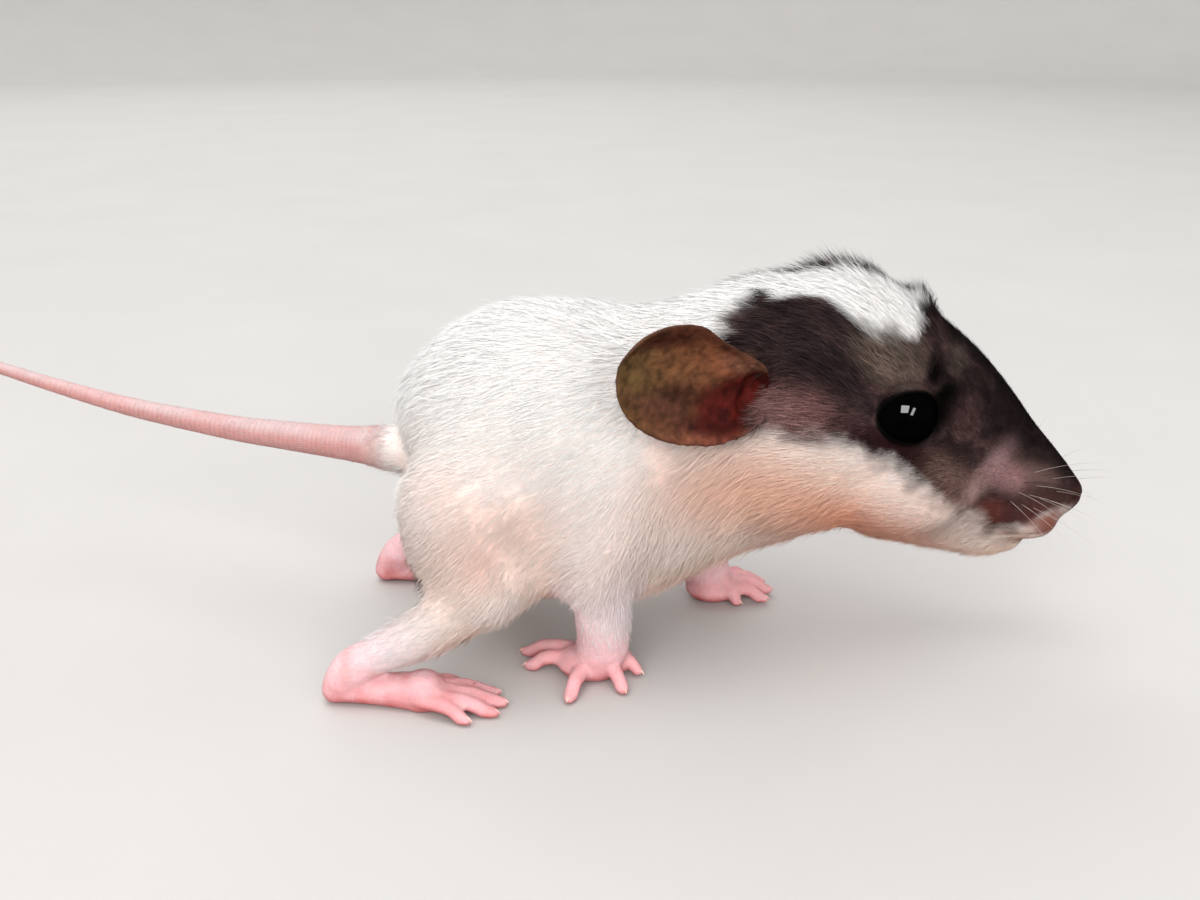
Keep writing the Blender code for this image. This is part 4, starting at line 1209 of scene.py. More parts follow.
comb((-19.0, 6.0, 20.0), (-0.6, 0.1, -0.8), 4)
comb((2.0, 11.0, 28.0), (-1, 0, -0.40), 8)
comb((-8.0, 12.5, 27.0), (-1, 0, -0.45), 8)
comb((-10.0, 14.0, 17.0), (-0.75, 0, -0.65), 6)
comb((-2.0, 13.0, 16.0), (-0.9, 0, -0.50), 6)
comb((4.0, 12.0, 18.0), (-0.55, 0, -0.85), 6)
comb((2.0, 11.0, 12.0), (-0.30, 0.05, -1), 5)
comb((12.0, 9.6, 17.0), (-0.75, 0, -0.70), 6)
comb((18.0, 8.0, 16.0), (-0.9, 0, -0.45), 6)
comb((12.0, 2.0, 9.5), (-0.45, 0.1, -0.95), 5)
comb((20.0, 2.0, 11.0), (-0.75, 0, -0.65), 5)
comb((4.0, 0.0, 6.5), (-0.80, 0, -0.40), 6)
comb((-8.0, 0.0, 6.5), (-1, 0, -0.15), 8)
comb((-13.0, 15.0, 11.0), (-0.80, 0, -0.60), 5)
comb((-18.0, 14.5, 7.0), (-0.85, 0, -0.50), 4)
for leg, sign in (("right", -1), ("left", 1)):
    mid, wrist = FORELEGS[leg]["mid"], FORELEGS[leg]["wrist"]
    for p in (mid, wrist):
        COMB.append((np.array(p, float), unit(np.array([-0.10 if sign < 0 else 0.35, 0.0, -1.0])), 4.5))


def lie_of_coat(p, n):
    """The way the hair lies at points p, along the surface."""
    total = np.zeros_like(p)
    marks = []
    for c, d, r in COMB:
        marks.append((c, d, r))
        if abs(c[1]) > 0.3 and not any(np.allclose(c, FORELEGS[g][k]) for g in FORELEGS for k in ("mid", "wrist")):
            marks.append((c * [1, -1, 1], d * [1, -1, 1], r))
    for c, d, r in marks:
        dist2 = ((p - c) ** 2).sum(1)
        w = 1.0 / (dist2 / (r * r) + 0.05) ** 2.2
        total += w[:, None] * d
    d = unit(total)
    # round the eyes the hair parts and follows the lids
    for side in (-1, 1):
        c, out, e1, e2 = EYES[side]
        q = p - c
        away = unit(q - out * (q @ out)[:, None])
        k = 0.55 * np.exp(-((np.linalg.norm(q - out * (q @ out)[:, None], axis=1) - 2.8) / 1.2) ** 2)
        k = k * ((q @ out) > 0)
        d = d + away * k[:, None]
    d = d - n * (d * n).sum(1)[:, None]
    return unit(d)


def coat_here(p, n):
    """Length, width, rise and density of the hair at points p."""
    s, v, y = head_axes(p)
    x, z = p[:, 0], p[:, 2]
    on_head = ramp(-s, -43.0, -37.0)
    length = 2.05 + 0.20 * noise(p, 6.0, 41)
    face = 0.45 + 0.40 * ramp(s, 3.0, 10.0) + 0.45 * ramp(s, 10.0, 20.0) + 0.85 * ramp(s, 22.0, 34.0)
    face = face - 0.25 * ramp(v, 5.0, 9.0) * ramp(s, 24.0, 30.0)
    length = length * (1 - on_head) + face * on_head
    # jaw and throat
    length = length + 0.5 * ramp(-v, 6.0, 10.0) * ramp(s, 8.0, 16.0) * on_head
    chin = ramp(-v, 4.6, 7.5) * ramp(s, 2.5, 5.5) * ramp(-s, -16.0, -10.0)
    length = length + 0.85 * chin
    for side in (NEAR, FAR):
        root, along, across_way, normal = ear_frame(side)
        length = length * (1 - 0.35 * np.exp(-(np.linalg.norm(p - (root - along * 1.5), axis=1) / 3.5) ** 2))
    length = length * (1 - 0.5 * np.exp(-(np.linalg.norm(p - np.array([-20.5, 0.0, 21.0]), axis=1) / 3.2) ** 2))
    share, dist, radius = tail_axes(p)
    length = length * (1 - 0.72 * ramp(-x, 20.4, 24.0) * (dist < radius * 1.6 + 0.4))
    reach = up_the_limb(p)
    leg = ramp(-reach, -9.5, 0.0)
    length = length * (1 - 0.58 * leg)
    rise = 13.0 + 5.0 * ramp(n[:, 2], 0.3, 0.9) + 3.0 * noise(p, 3.0, 42)
    rise = rise * (1 - on_head) + on_head * (14.0 + 12.0 * ramp(s, 20.0, 30.0))
    crest = on_head * ramp(v, 6.0, 10.0) * ramp(s, 18.0, 26.0)
    rise = rise + 7.0 * crest + 20.0 * chin
    # the far edge of the blaze and the brow stand up
    far_edge = crest * np.exp(-((y - 2.0) / 1.5) ** 2) * ramp(s, 27.0, 29.0)
    brow = np.exp(-((s - 23.5) / 1.3) ** 2 - ((v - 10.4) / 1.5) ** 2)
    rise = rise + 38.0 * far_edge + 48.0 * brow
    length = length * (1 + 0.45 * far_edge + 1.15 * brow)
    rise = rise * (1 - 0.5 * leg)
    width = (0.078 - 0.022 * on_head * ramp(-s, -26.0, -12.0) - 0.012 * leg) * (1 + 0.6 * brow)
    dense = 1.0 + 1.4 * on_head * ramp(-s, -30.0, -14.0) + 1.3 * leg + 0.35 * on_head + 3.0 * brow + 0.8 * chin
    dense = dense * (0.08 + 0.92 * ramp(reach, -0.2, 3.6))
    bare = np.zeros(len(p))
    for side in (-1, 1):
        rho, h, a, b = eye_axes(p, side)
        near = np.where((rho < 2.4) & (h > -1.5), 1.0, 0.0)
        length = length * (1 - 0.55 * near * ramp(-rho, -2.3, -1.3))
        bare = np.maximum(bare, near * ramp(-rho, -1.13, -1.06))
        bare = np.maximum(bare, ramp(canal(p, side), 0.25, 0.5))
    bare = np.maximum(bare, ramp(-s, -1.1, -0.6))
    ear, tail, foot, share = skin_parts(p)
    dense = dense * (1 + 0.8 * np.exp(-(np.linalg.norm(p - np.array([-20.5, 0.0, 20.0]), axis=1) / 4.0) ** 2)) * (1 - bare) * (1 - ramp(ear, 0.1, 0.6)) * (1 - ramp(tail, 0.05, 0.95)) * (1 - ramp(foot, 0.3, 0.8))
    return length, width, rise, dense


def scatter(weights, count, seed):
    """Spots over the skin's triangles, spread evenly by weight."""
    rng = np.random.default_rng(seed)
    a, b, c = co[tri[:, 0]], co[tri[:, 1]], co[tri[:, 2]]
    area = 0.5 * np.linalg.norm(np.cross(b - a, c - a), axis=1)
    total = np.cumsum(area * weights)
    picks = (np.arange(count) + rng.random(count)) / count * total[-1]
    face = np.searchsorted(total, picks)
    face = np.clip(face, 0, len(tri) - 1)
    u, v = rng.random(count), rng.random(count)
    over = u + v > 1
    u[over], v[over] = 1 - u[over], 1 - v[over]
    w = 1 - u - v
    p = a[face] * w[:, None] + b[face] * u[:, None] + c[face] * v[:, None]
    n = unit(no[tri[face, 0]] * w[:, None] + no[tri[face, 1]] * u[:, None] + no[tri[face, 2]] * v[:, None])
    return p, n, rng


def body_map(p):
    """Place of points on an unwrap of the body: along it and round it."""
    x, y, z = p[:, 0], p[:, 1], p[:, 2]
    mid = np.interp(x, [-20, -10, 0, 10, 20, 30, 40, 49], [25, 21, 21, 23, 26, 24, 19, 15.5])
    angle = np.arctan2(y, z - mid) / (2 * math.pi) + 0.5
    along = (x + 82.0) / 134.0
    return along, angle


def fold_uv(p):
    """OFBake places: body, ears and tail in the lower band, the four legs in strips above it."""
    along, angle = body_map(p)
    lo, hi = along.min(), along.max()
    u = 0.02 + 0.95 * (along - lo) / max(hi - lo, 1e-6)
    v = 0.02 + 0.70 * angle
    z, x, y = p[:, 2], p[:, 0], p[:, 1]
    for k, (name, sign) in enumerate((("right", -1), ("left", 1))):
        for j, legs in enumerate((FORELEGS, HINDLEGS)):
            leg = legs[name]
            keys = ("elbow", "mid", "wrist") if j == 0 else ("knee", "shank", "ankle")
            d1, t1 = segment_distance(p, leg[keys[0]], leg[keys[1]])
            d2, t2 = segment_distance(p, leg[keys[1]], leg[keys[2]])
            first = d1 < d2
            t = np.where(first, t1 * 0.5, 0.5 + t2 * 0.5)
            centre = np.where(first[:, None], np.array(leg[keys[0]]) * (1 - t1[:, None]) + np.array(leg[keys[1]]) * t1[:, None],
                              np.array(leg[keys[1]]) * (1 - t2[:, None]) + np.array(leg[keys[2]]) * t2[:, None])
            ring = np.arctan2(y - centre[:, 1], x - centre[:, 0] if j == 0 else z - centre[:, 2]) / (2 * math.pi) + 0.5
            inside = (np.minimum(d1, d2) < 4.6) & (z < (11.0 if j == 0 else 10.5)) & (y * sign > 4.0) & (t > 0.02)
            strip = 2 * k + j
            u = np.where(inside, 0.02 + 0.95 * t, u)
            v = np.where(inside, 0.745 + 0.0625 * strip + 0.055 * ring, v)
    return u, v


def tuft_mesh(name, p, n, d, length, width, rise, rng, curl, root_rgb, tip_rgb, bent=True, thin=0.26):
    """One mesh of many closed tufts: three-sided, bent once along the lie of the coat, ending in a point."""
    count = len(p)
    side = unit(np.cross(d, n))
    a1, a2 = np.radians(rise), np.radians(rise * 0.30 + curl)
    step1 = d * np.cos(a1)[:, None] + n * np.sin(a1)[:, None]
    step2 = d * np.cos(a2)[:, None] + n * np.sin(a2)[:, None]
    step2 = unit(step2 + side * (rng.normal(0, 0.10, count))[:, None])
    root = p - n * 0.10
    mid = root + step1 * (length * 0.45)[:, None]
    tip = mid + step2 * (length * 0.55)[:, None] if bent else root + unit(step1 + step2) * length[:, None]
    lift = np.cross(side, step1)
    flip = np.sign((lift * n).sum(1))[:, None]
    lift = lift * np.where(flip == 0, 1, flip)
    roll = rng.normal(0, 0.38, count)[:, None]
    side, lift = side * np.cos(roll) + lift * np.sin(roll), lift * np.cos(roll) - side * np.sin(roll)
    half = (width * 0.5)[:, None]

    def ring(centre, grow):
        return [centre + lift * half * thin * grow * 1.2,
                centre - side * half * grow - lift * half * thin * grow * 0.5,
                centre + side * half * grow - lift * half * thin * grow * 0.5]

    if bent:
        verts = np.stack(ring(root, 1.0) + ring(mid, 0.82) + [tip], 1).reshape(-1, 3)
        faces = np.array([(0, 2, 1), (0, 1, 4), (0, 4, 3), (1, 2, 5), (1, 5, 4), (2, 0, 3), (2, 3, 5),
                          (3, 4, 6), (4, 5, 6), (5, 3, 6)])
        per, marks = 7, np.array([(0, 0), (0.5, 0), (1, 0), (0.05, 0.5), (0.5, 0.45), (0.95, 0.5), (0.5, 1)])
        mix = np.array([0, 0, 0, 0.5, 0.5, 0.5, 1.0])
    else:
        verts = np.stack(ring(root, 1.0) + [tip], 1).reshape(-1, 3)
        faces = np.array([(0, 2, 1), (0, 1, 3), (1, 2, 3), (2, 0, 3)])
        per, marks = 4, np.array([(0, 0), (0.5, 0.12), (1, 0), (0.5, 1)])
        mix = np.array([0, 0, 0, 1.0])
    faces = faces[:, ::-1]      # outward
    all_faces = (faces[None] + (np.arange(count) * per)[:, None, None]).reshape(-1, 3)
    mesh = bpy.data.meshes.new(name)
    mesh.vertices.add(len(verts))
    mesh.vertices.foreach_set("co", np.ascontiguousarray(place(verts), np.float32).ravel())
    mesh.loops.add(len(all_faces) * 3)
    mesh.loops.foreach_set("vertex_index", all_faces.astype(np.int32).ravel())
    mesh.polygons.add(len(all_faces))
    mesh.polygons.foreach_set("loop_start", np.arange(len(all_faces), dtype=np.int32) * 3)
    mesh.update(calc_edges=True)
    mesh.polygons.foreach_set("use_smooth", np.ones(len(all_faces), bool))
    lean = 0.42
    ways = [n + lift * lean, n - side * lean, n + side * lean]
    ways = ways * 2 + [n + step2 * 0.15] if bent else ways + [n + step1 * 0.15]
    ways = unit(np.stack(ways, 1).reshape(-1, 3))
    mesh.normals_split_custom_set_from_vertices(ways.tolist())
    u, v = fold_uv(p)
    uv = np.stack([u, v], 1)[:, None, :] + marks[None] * 0.003
    layer = mesh.uv_layers.new(name="OFBake")
    layer.data.foreach_set("uv", np.ascontiguousarray(uv.reshape(-1, 2)[all_faces.ravel()], np.float32).ravel())
    rgb = root_rgb[:, None, :] * (1 - mix)[None, :, None] + tip_rgb[:, None, :] * mix[None, :, None]
    put_colour(mesh, "Coat", rgb.reshape(-1, 3))
    mesh.materials.append(m_coat)
    obj = bpy.data.objects.new(name, mesh)
    bpy.context.scene.collection.objects.link(obj)
    return obj


centre_of = (co[tri[:, 0]] + co[tri[:, 1]] + co[tri[:, 2]]) / 3
normal_of = unit(no[tri].mean(1))
_, _, _, dense = coat_here(centre_of, normal_of)

def groom(count, seed, over):
    """Everything about a layer of the coat; over is 1 for the looser hairs on top."""
    p, n, rng = scatter(dense, count, seed)
    length, width, rise, _ = coat_here(p, n)
    d = lie_of_coat(p, n)
    # the lie wanders a little, and neighbouring tufts draw together into soft locks
    across = unit(np.cross(n, d))
    turn_by = 0.10 * noise(p, 3.4, 51) + 0.05 * noise(p, 1.1, 52) + rng.normal(0, 0.13 + 0.08 * over, len(p))
    d = unit(d * np.cos(turn_by)[:, None] + across * np.sin(turn_by)[:, None])
    length = length * np.clip(rng.normal(1.0 + 0.04 * over, 0.20, len(p)), 0.45, 1.5)
    loose = over * (rng.random(len(p)) < 0.30)
    s, v, y = head_axes(p)
    bare_face = ramp(-s, -22.0, -14.0)
    rise = np.clip(rise + rng.normal(0, 6.0, len(p)) + over * (8.0 - 6.0 * bare_face) + loose * rng.random(len(p)) * 30.0 * (1 - 0.8 * bare_face),
                   4.0, 78.0)
    width = width * np.clip(rng.normal(1.0, 0.20, len(p)), 0.5, 1.6) * (1.0 - 0.28 * over)
    curl = rng.normal(0, 5.0, len(p))
    base = coat_colour(p, n, d * (length * 0.55 * np.cos(np.radians(np.clip(rise, 0, 85))))[:, None])
    # hairs at the tail's root turn to its pink
    spot = np.where((p[:, 0] < -19.8) & (abs(p[:, 1]) < 4.0) & (p[:, 2] > 15.0))[0]
    if len(spot):
        q = p[spot]
        share, dist, radius = tail_axes(q)
        t = (0.96 * ramp(-q[:, 0], 19.4, 22.4) * (dist < radius * 1.5 + 0.3))[:, None]
        base[spot] = base[spot] * (1 - t) + lin((212, 160, 157)) * t
    dark = ramp(-base.mean(1), -0.35, -0.15)
    spread = np.clip(1.0 + rng.normal(0, 1, len(p)) * (0.045 + 0.09 * ramp(-v, 3.0, 6.0) * ramp(-s, -36.0, -26.0) + 0.50 * dark), 0.25, 2.3)[:, None]
    tone = np.clip(base * spread, 0.0, 0.96)
    root_rgb = np.clip(tone * (0.98 - 0.14 * dark)[:, None], 0, 1)
    tip_rgb = np.clip(tone * (1.0 + 0.22 * dark)[:, None] + (0.002 * dark)[:, None], 0, 0.96)
    return p, n, d, length, width, rise, curl, root_rgb, tip_rgb


COAT = []
ZONES = ["legs", "muzzle", "face", "crown", "nape", "neck", "shoulder", "flank", "rump"]
for layer, count, seed, over in (("under", UNDER, 5, 0.0), ("over", TUFTS, 15, 1.0)):
    p, n, d, length, width, rise, curl, root_rgb, tip_rgb = groom(count, seed, over)
    s_, v_, y_ = head_axes(p)
    z_, x_ = p[:, 2], p[:, 0]
    zone = np.where(z_ < 9.0, 0, np.where(s_ < 14, 1, np.where(s_ < 22, 2, np.where(s_ < 30, 3, np.where(s_ < 38, 4,
           np.where(x_ > 5, 5, np.where(x_ > -3, 6, np.where(x_ > -11, 7, 8))))))))
    if over:
        zone = np.where((zone == 0) | (zone >= 5), 6, 3)
    for k, label in enumerate(ZONES):
        mine = np.where(zone == k)[0]
        if len(mine) == 0:
            continue
        parts = math.ceil(len(mine) / (19500 if over else 48000))
        order = mine[np.argsort(x_[mine])]
        for j, chunk in enumerate(np.array_split(order, parts)):
            title = "coat_%s_%s%s" % (layer, ("head" if k == 3 else "body") if over else label,
                                      "" if parts == 1 else "_%d" % (j + 1))
            COAT.append(tuft_mesh(title, p[chunk], n[chunk], d[chunk], length[chunk], width[chunk], rise[chunk],
                                  np.random.default_rng(100 + 7 * k + j), curl[chunk], root_rgb[chunk], tip_rgb[chunk],
                                  bent=bool(over)))

# down on ears, feet and tail, and the shortest hair of the muzzle
ear_c, tail_c, foot_c, share_c = skin_parts(centre_of)
s_c, v_c, y_c = head_axes(centre_of)
muzzle_c = ramp(-s_c, -15.0, -8.0) * ramp(s_c, 0.4, 1.6)
weights = 0.9 * ear_c * (abs(centre_of[:, 1]) > 8) + 0.9 * tail_c + 0.30 * foot_c * (normal_of[:, 2] > 0.0) + 2.2 * muzzle_c
bare_c = np.zeros(len(centre_of))
p, n, rng = scatter(np.maximum(weights, 0), SPIKES, 6)
ear_p, tail_p, foot_p, share_p = skin_parts(p)
s_, v_, y_ = head_axes(p)
d = lie_of_coat(p, n)
# along the tail to its tip, down the feet to the toes, up the ears to their edge
line = TAIL_LINE[:, :3]
k = np.clip((share_p * (len(line) - 1)).astype(int), 0, len(line) - 2)
to_tip = unit(line[k + 1] - line[k])
toe_way = np.zeros_like(p)
near_toe = np.full(len(p), 1e9)
for name, base_, tip_, fat in TOES:
    dd, _ = segment_distance(p, base_, tip_)
    hit = dd < near_toe
    toe_way[hit] = unit(np.array(tip_) - np.array(base_))
    near_toe = np.minimum(near_toe, dd)
for side in (NEAR, FAR):
    root, along, across, normal = ear_frame(side)
    u, w, h = ear_axes(p, side)
    mine = (ear_p > 0.5) & (p[:, 1] * side > 6)
    way = along + across * np.clip(w, -1, 1)[:, None] * 0.8
    d = np.where(mine[:, None], way, d)
d = np.where((tail_p > 0.5)[:, None], to_tip, d)
d = np.where((foot_p > 0.5)[:, None], toe_way, d)
d = unit(d - n * (d * n).sum(1)[:, None])
turn_by = rng.normal(0, 0.25, len(p))
d = unit(d * np.cos(turn_by)[:, None] + np.cross(n, d) * np.sin(turn_by)[:, None])
length = 0.42 + 0.25 * ramp(s_, 3, 10)
u1, w1, h1 = ear_axes(p, NEAR)
u2, w2, h2 = ear_axes(p, FAR)
EDGE = np.where(p[:, 1] < 0, ramp(-u1, -0.34, -0.12) * ramp(w1, 0.55, 0.85), ramp(-u2, -0.34, -0.12) * ramp(w2, 0.55, 0.85))
length = np.where(ear_p > 0.5, 0.38 + 0.75 * EDGE, length)
length = np.where(tail_p > 0.5, 0.85 - 0.25 * share_p, length)
length = np.where(foot_p > 0.5, 0.50, length) * np.clip(rng.normal(1, 0.25, len(p)), 0.4, 1.7)
width = np.where(tail_p > 0.5, 0.040, np.where(ear_p > 0.5, 0.038, np.where(foot_p > 0.5, 0.036, 0.060)))
rise = np.where(tail_p > 0.5, 20.0, np.where(ear_p > 0.5, 17.0, 20.0)) + rng.normal(0, 6, len(p))
rgb = coat_colour(p, n, d * (length * 0.5)[:, None])
SHADE = rng.random(len(p)) ** 1.5
rgb = np.where((ear_p > 0.5)[:, None], lin((98, 62, 42)) * (1 - SHADE[:, None]) + lin((164, 116, 82)) * SHADE[:, None], rgb)
rgb = np.where((ear_p > 0.5)[:, None], rgb * (1 - EDGE[:, None]) + lin((64, 48, 42)) * EDGE[:, None], rgb)
rgb = np.where((tail_p > 0.5)[:, None], lin((214, 188, 186)), rgb)
rgb = np.where((foot_p > 0.5)[:, None], lin((244, 216, 216)), rgb)
grey = np.where((ear_p < 0.5) & (tail_p < 0.5) & (foot_p < 0.5), 0.38, 0.14)
rgb = np.clip(rgb * np.clip(1 + rng.normal(0, 1, len(p)) * grey, 0.35, 2.4)[:, None], 0, 0.95)
kind = np.where(ear_p > 0.5, 0, np.where(tail_p > 0.5, 1, np.where(foot_p > 0.5, 2, 3)))
for k, label in enumerate(("ear_down", "tail_hair", "foot_hair", "muzzle_hair")):
    chunk = np.where(kind == k)[0]
    if len(chunk):
        COAT.append(tuft_mesh("coat_" + label, p[chunk], n[chunk], d[chunk], length[chunk], width[chunk],
                              np.clip(rise[chunk], 5, 60), np.random.default_rng(200 + k), np.zeros(len(chunk)),
                              rgb[chunk] * 0.9, rgb[chunk], bent=False))

# ---------------------------------------------------------------- eyes
m_eye, tree, bsdf = new_material("eye_black")
coord = node(tree, "ShaderNodeTexCoord")
tex = node(tree, "ShaderNodeTexNoise", Scale=900.0, Detail=2.0)
tree.links.new(coord.outputs["Object"], tex.inputs["Vector"])
mixc = node(tree, "ShaderNodeMapRange", From_Min=0.3, From_Max=0.7, To_Min=0.0006, To_Max=0.0016)
tree.links.new(tex.outputs["Fac"], mixc.inputs["Value"])
comb_rgb = node(tree, "ShaderNodeCombineColor")
for k in ("Red", "Green", "Blue"):
    tree.links.new(mixc.outputs[0], comb_rgb.inputs[k])
tree.links.new(comb_rgb.outputs[0], bsdf.inputs["Base Color"])
bsdf.inputs["Roughness"].default_value = 0.03
bsdf.inputs["Specular IOR Level"].default_value = 1.0
bsdf.inputs["IOR"].default_value = 1.5

EYE_PIECES = []
for side, label in ((NEAR, "right"), (FAR, "left")):
    c, out, e1, e2 = EYES[side]
    bm = bmesh.new()
    ball(bm, (0, 0, 0), (EYE_R,) * 3, n=64, m=40)
    for v in bm.verts:
        q = np.array(v.co)
        # the cornea stands out a little from the globe
        t = max(0.0, q[0] / EYE_R)
        q = q * (1 - 0.012 + 0.035 * ramp(np.array(t), 0.62, 0.95))
        v.co = Vector(place(c + out * q[0] + e1 * q[1] + e2 * q[2]))
    eye = to_object(bm, "eyeball_" + label)
    eye.data.shade_smooth()
    eye.data.materials.append(m_eye)
    EYE_PIECES.append((eye, "eye_" + label))

# ---------------------------------------------------------------- claws
m_claw, tree, bsdf = new_material("claw")
coord = node(tree, "ShaderNodeTexCoord")
tex = node(tree, "ShaderNodeTexNoise", Scale=1600.0, Detail=2.0)
tree.links.new(coord.outputs["Object"], tex.inputs["Vector"])
rampn = node(tree, "ShaderNodeValToRGB")
rampn.color_ramp.elements[0].position, rampn.color_ramp.elements[0].color = 0.35, (*lin((240, 178, 172)), 1)
rampn.color_ramp.elements[1].position, rampn.color_ramp.elements[1].color = 0.70, (*lin((248, 208, 198)), 1)
tree.links.new(tex.outputs["Fac"], rampn.inputs["Fac"])
tree.links.new(rampn.outputs["Color"], bsdf.inputs["Base Color"])
bsdf.inputs["Roughness"].default_value = 0.28
flesh_look(bsdf, 0.3, 0.3)
CLAWS = []
for name, base_, tip_, fat in TOES:
    way = unit(np.array([tip_[0] - base_[0], tip_[1] - base_[1], 0.0]))
    start = np.array([tip_[0], tip_[1], 0.78]) - way * 0.12
    path = [(*(start - way * 0.30), 0.20), (*(start + way * 0.10 + UP * 0.03), 0.20), (*(start + way * 0.36 + UP * 0.02), 0.14),
            (*(start + way * 0.56 - UP * 0.12), 0.08), (*(start + way * 0.70 - UP * 0.28), 0.03)]
    bm = bmesh.new()
    skin_over(bm, tube_rings(path, n=14, steps=4))
    for v in bm.verts:
        v.co = Vector(place(np.array(v.co)))
    claw = to_object(bm, "claw_" + name)
    claw.data.shade_smooth()
    claw.data.materials.append(m_claw)
    CLAWS.append(claw)

# ---------------------------------------------------------------- whiskers
def whisker_material(name, rgb):
    mat, tree, bsdf = new_material(name)
    coord = node(tree, "ShaderNodeTexCoord")
    tex = node(tree, "ShaderNodeTexNoise", Scale=500.0, Detail=1.0)
    tree.links.new(coord.outputs["Object"], tex.inputs["Vector"])
    r = node(tree, "ShaderNodeValToRGB")
    r.color_ramp.elements[0].position, r.color_ramp.elements[0].color = 0.35, (*(lin(rgb) * 0.8), 1)
    r.color_ramp.elements[1].position, r.color_ramp.elements[1].color = 0.65, (*lin(rgb), 1)
    tree.links.new(tex.outputs["Fac"], r.inputs["Fac"])
    tree.links.new(r.outputs["Color"], bsdf.inputs["Base Color"])
    bsdf.inputs["Roughness"].default_value = 0.35
    return mat


def whiskers(name, specs, mat):
    bm = bmesh.new()
    for root, way, droop, long_, fat in specs:
        pts = []
        for k in range(6):
            t = k / 5
            q = root + way * (long_ * t) - UP * (droop * long_ * t * t)
            pts.append((*q, fat * (1 - 0.88 * t)))
        skin_over(bm, tube_rings(pts, n=5, steps=2))
    for v in bm.verts:
        v.co = Vector(place(np.array(v.co)))
    obj = to_object(bm, name)
    obj.data.shade_smooth()
    obj.data.materials.append(mat)
    return obj


rng = np.random.default_rng(77)
pale, dusky = [], []
from mathutils.bvhtree import BVHTree
skin_tree = BVHTree.FromPolygons([tuple(c) for c in co], [tuple(int(i) for i in t) for t in tri])
for side in (-1, 1):
    for row in range(4):
        for col in range(4):
            s = 3.6 + col * 1.25 + 0.25 * row
            v = 0.3 - row * 1.05 - 0.12 * col
            start = head_point(s, v, side * 9.0)
            hit = skin_tree.ray_cast(Vector(start), Vector((0, -side, 0)), 9.0)
            if hit[0] is None:
                continue
            root = np.array(hit[0]) - side * AY * 0.15
            fan = (col - 1.0) * 0.22
            way = unit(AX * (0.62 - fan) + side * AY * (0.60 + 0.12 * col) + AV * (0.80 - 0.24 * row) + rng.normal(0, 0.07, 3))
            long_ = (4.0 + 1.5 * col + rng.random() * 2.0)
            fat = 0.015 + 0.004 * col
            (dusky if (row < 2 and (row + col) % 2 == 0) else pale).append((root, way, 0.10 + 0.08 * rng.random(), long_, fat))
    # brows
    for k in range(2):
        start = head_point(21.5 + 1.6 * k, 5.4, side * 12.0)
        hit = skin_tree.ray_cast(Vector(start), Vector((0, -side, 0)), 12.0)
        if hit[0] is not None:
            way = unit(AV * 0.8 + side * AY * 0.5 - AX * 0.25 * k + rng.normal(0, 0.05, 3))
            dusky.append((np.array(hit[0]), way, 0.02, 4.2, 0.03))
WHISKERS = [whiskers("whiskers_pale", pale, whisker_material("whisker_pale", (206, 190, 184))),
            whiskers("whiskers_dark", dusky, whisker_material("whisker_dark", (60, 44, 42)))]

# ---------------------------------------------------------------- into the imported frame
set_points(skin.data, place(co))
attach(skin, "root")
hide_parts("head", "neck", "trunk", "foreleg_right", "foreleg_left", "forepaw_right", "forepaw_left",
            "hindleg_right", "hindleg_left", "hindfoot_right", "hindfoot_left", "tail_base", "tail_middle",
            "tail_tip", "ear_right", "ear_left")
for obj in COAT:
    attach(obj, "root")
for eye, cad in EYE_PIECES:
    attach(eye, "root")
    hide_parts(cad)
for obj in CLAWS:
    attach(obj, "root")
for obj in WHISKERS:
    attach(obj, "root")

# ---------------------------------------------------------------- floor, light, camera
m_floor, tree, bsdf = new_material("pale_floor")
coord = node(tree, "ShaderNodeTexCoord")
tex = node(tree, "ShaderNodeTexNoise", Scale=30.0, Detail=4.0)
tree.links.new(coord.outputs["Object"], tex.inputs["Vector"])
r = node(tree, "ShaderNodeValToRGB")
r.color_ramp.elements[0].position, r.color_ramp.elements[0].color = 0.3, (*lin((192, 190, 188)), 1)
r.color_ramp.elements[1].position, r.color_ramp.elements[1].color = 0.7, (*lin((195, 193, 191)), 1)
tree.links.new(tex.outputs["Fac"], r.inputs["Fac"])
tree.links.new(r.outputs["Color"], bsdf.inputs["Base Color"])
bsdf.inputs["Roughness"].default_value = 0.9
bm = bmesh.new()
# a floor that turns up into a backdrop far off, all round
prof = [(0.80 + 0.35 * math.sin(t * math.pi / 2 / 12), 0.35 - 0.35 * math.cos(t * math.pi / 2 / 12)) for t in range(13)]
prof.append((1.15, 0.62))
rows = []
for rr, zz in prof:
    rows.append([bm.verts.new((rr * math.cos(2 * math.pi * k / 72), rr * math.sin(2 * math.pi * k / 72), zz)) for k in range(72)])
bm.faces.new(rows[0])
for a, b in zip(rows, rows[1:]):
    for k in range(72):
        bm.faces.new((a[k], a[(k + 1) % 72], b[(k + 1) % 72], b[k]))
floor = to_object(bm, "floor")
floor.data.shade_smooth()
floor.data.materials.append(m_floor)
floor.location.z = -0.00005

world = bpy.data.worlds.new("studio")
bpy.context.scene.world = world
world.use_nodes = True
bg = world.node_tree.nodes["Background"]
bg.inputs["Color"].default_value = (1.0, 0.995, 0.99, 1.0)
bg.inputs["Strength"].default_value = 0.88
world.cycles_visibility.glossy = False


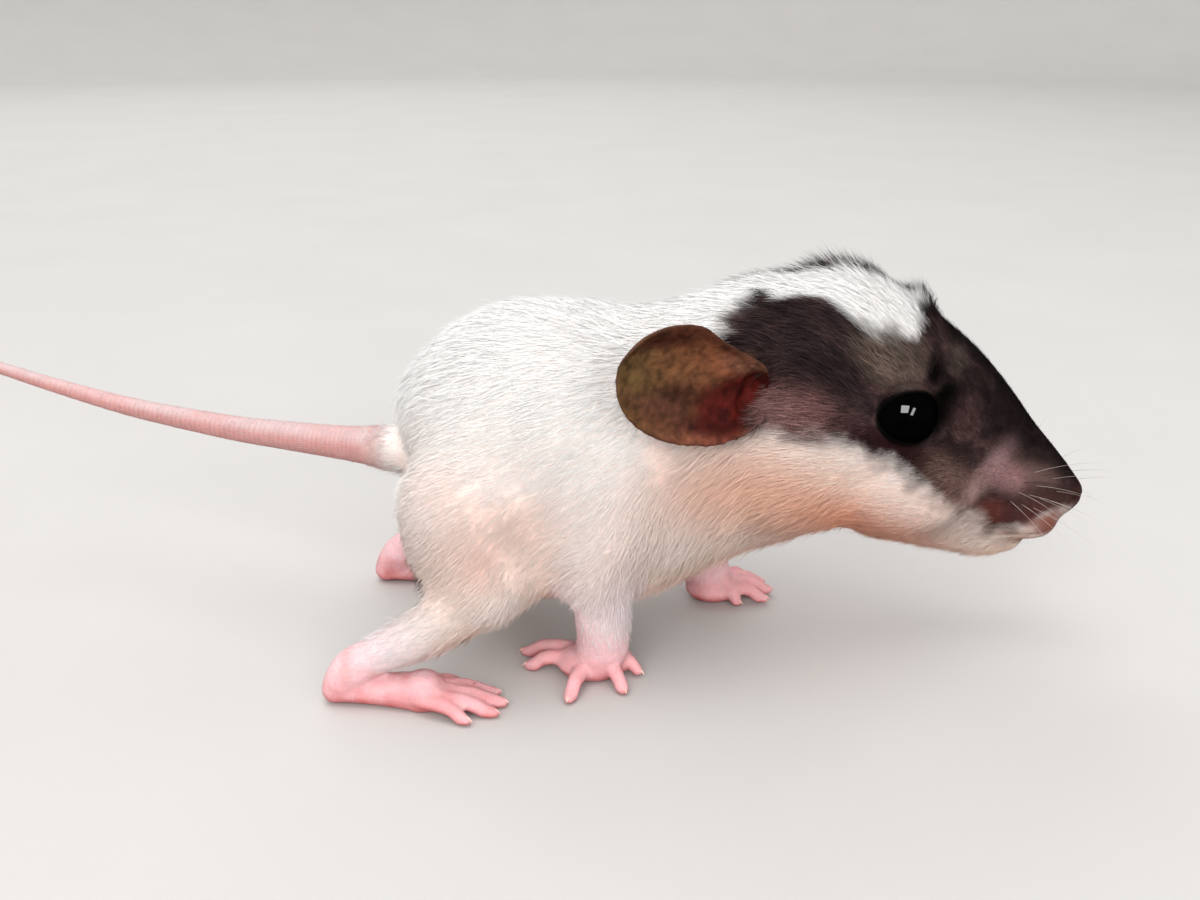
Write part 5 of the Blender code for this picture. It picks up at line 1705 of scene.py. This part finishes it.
def area(name, at, to, size, power_, rgb=(1, 1, 1)):
    lamp = bpy.data.lights.new(name, "AREA")
    lamp.shape = "RECTANGLE"
    lamp.size, lamp.size_y = size
    lamp.energy = power_
    lamp.color = rgb
    obj = bpy.data.objects.new(name, lamp)
    bpy.context.scene.collection.objects.link(obj)
    obj.location = Vector(at)
    obj.rotation_euler = (Vector(to) - Vector(at)).to_track_quat("-Z", "Y").to_euler()
    return obj


key = area("key", (-0.148, -0.648, 0.467), (0.04, 0.0, 0.025), (0.42, 0.40), 2.6, (1.0, 0.995, 0.99))
top = area("top", (-0.10, -0.10, 0.90), (0.01, 0.0, 0.02), (0.78, 0.60), 3.9, (1.0, 1.0, 1.0))
fill = area("fill", (0.36, -0.72, 0.29), (0.02, 0.0, 0.02), (0.65, 0.47), 1.65, (1.0, 0.985, 0.975))
strip = area("strip", (0.27, -0.70, 0.31), (0.03, 0.0, 0.02), (0.13, 0.38), 0.7, (1.0, 0.99, 0.98))
strip.rotation_euler.rotate_axis("Z", math.radians(-28.0))
back = area("back", (-0.20, 0.66, 0.55), (0.0, 0.0, 0.02), (0.70, 0.50), 2.0, (1.0, 1.0, 1.0))
floor.visible_glossy = False
for obj in [skin] + COAT + WHISKERS:
    obj.visible_glossy = False
for soft_light in (top, fill, back):
    soft_light.visible_glossy = False

ELEV = math.radians(20.5)
DIST = 126.667
TARGET = np.array([0.0, 0.0, 20.75])
cam_at = TARGET + DIST * np.array([0.0, -math.cos(ELEV), math.sin(ELEV)])
cam = bpy.data.cameras.new("camera")
cam.lens, cam.sensor_width, cam.sensor_fit = 38.0, 36.0, "HORIZONTAL"
cam.clip_start, cam.clip_end = 0.005, 10.0
cam_obj = bpy.data.objects.new("camera", cam)
bpy.context.scene.collection.objects.link(cam_obj)
cam_obj.location = Vector(place(cam_at))
cam_obj.rotation_euler = (math.pi / 2 - ELEV, 0.0, 0.0)
bpy.context.scene.camera = cam_obj
bpy.context.scene.view_settings.view_transform = "Standard"

print("skin triangles", len(tri), "coat triangles", sum(len(o.data.polygons) for o in COAT),
      {o.name: len(o.data.polygons) for o in COAT})
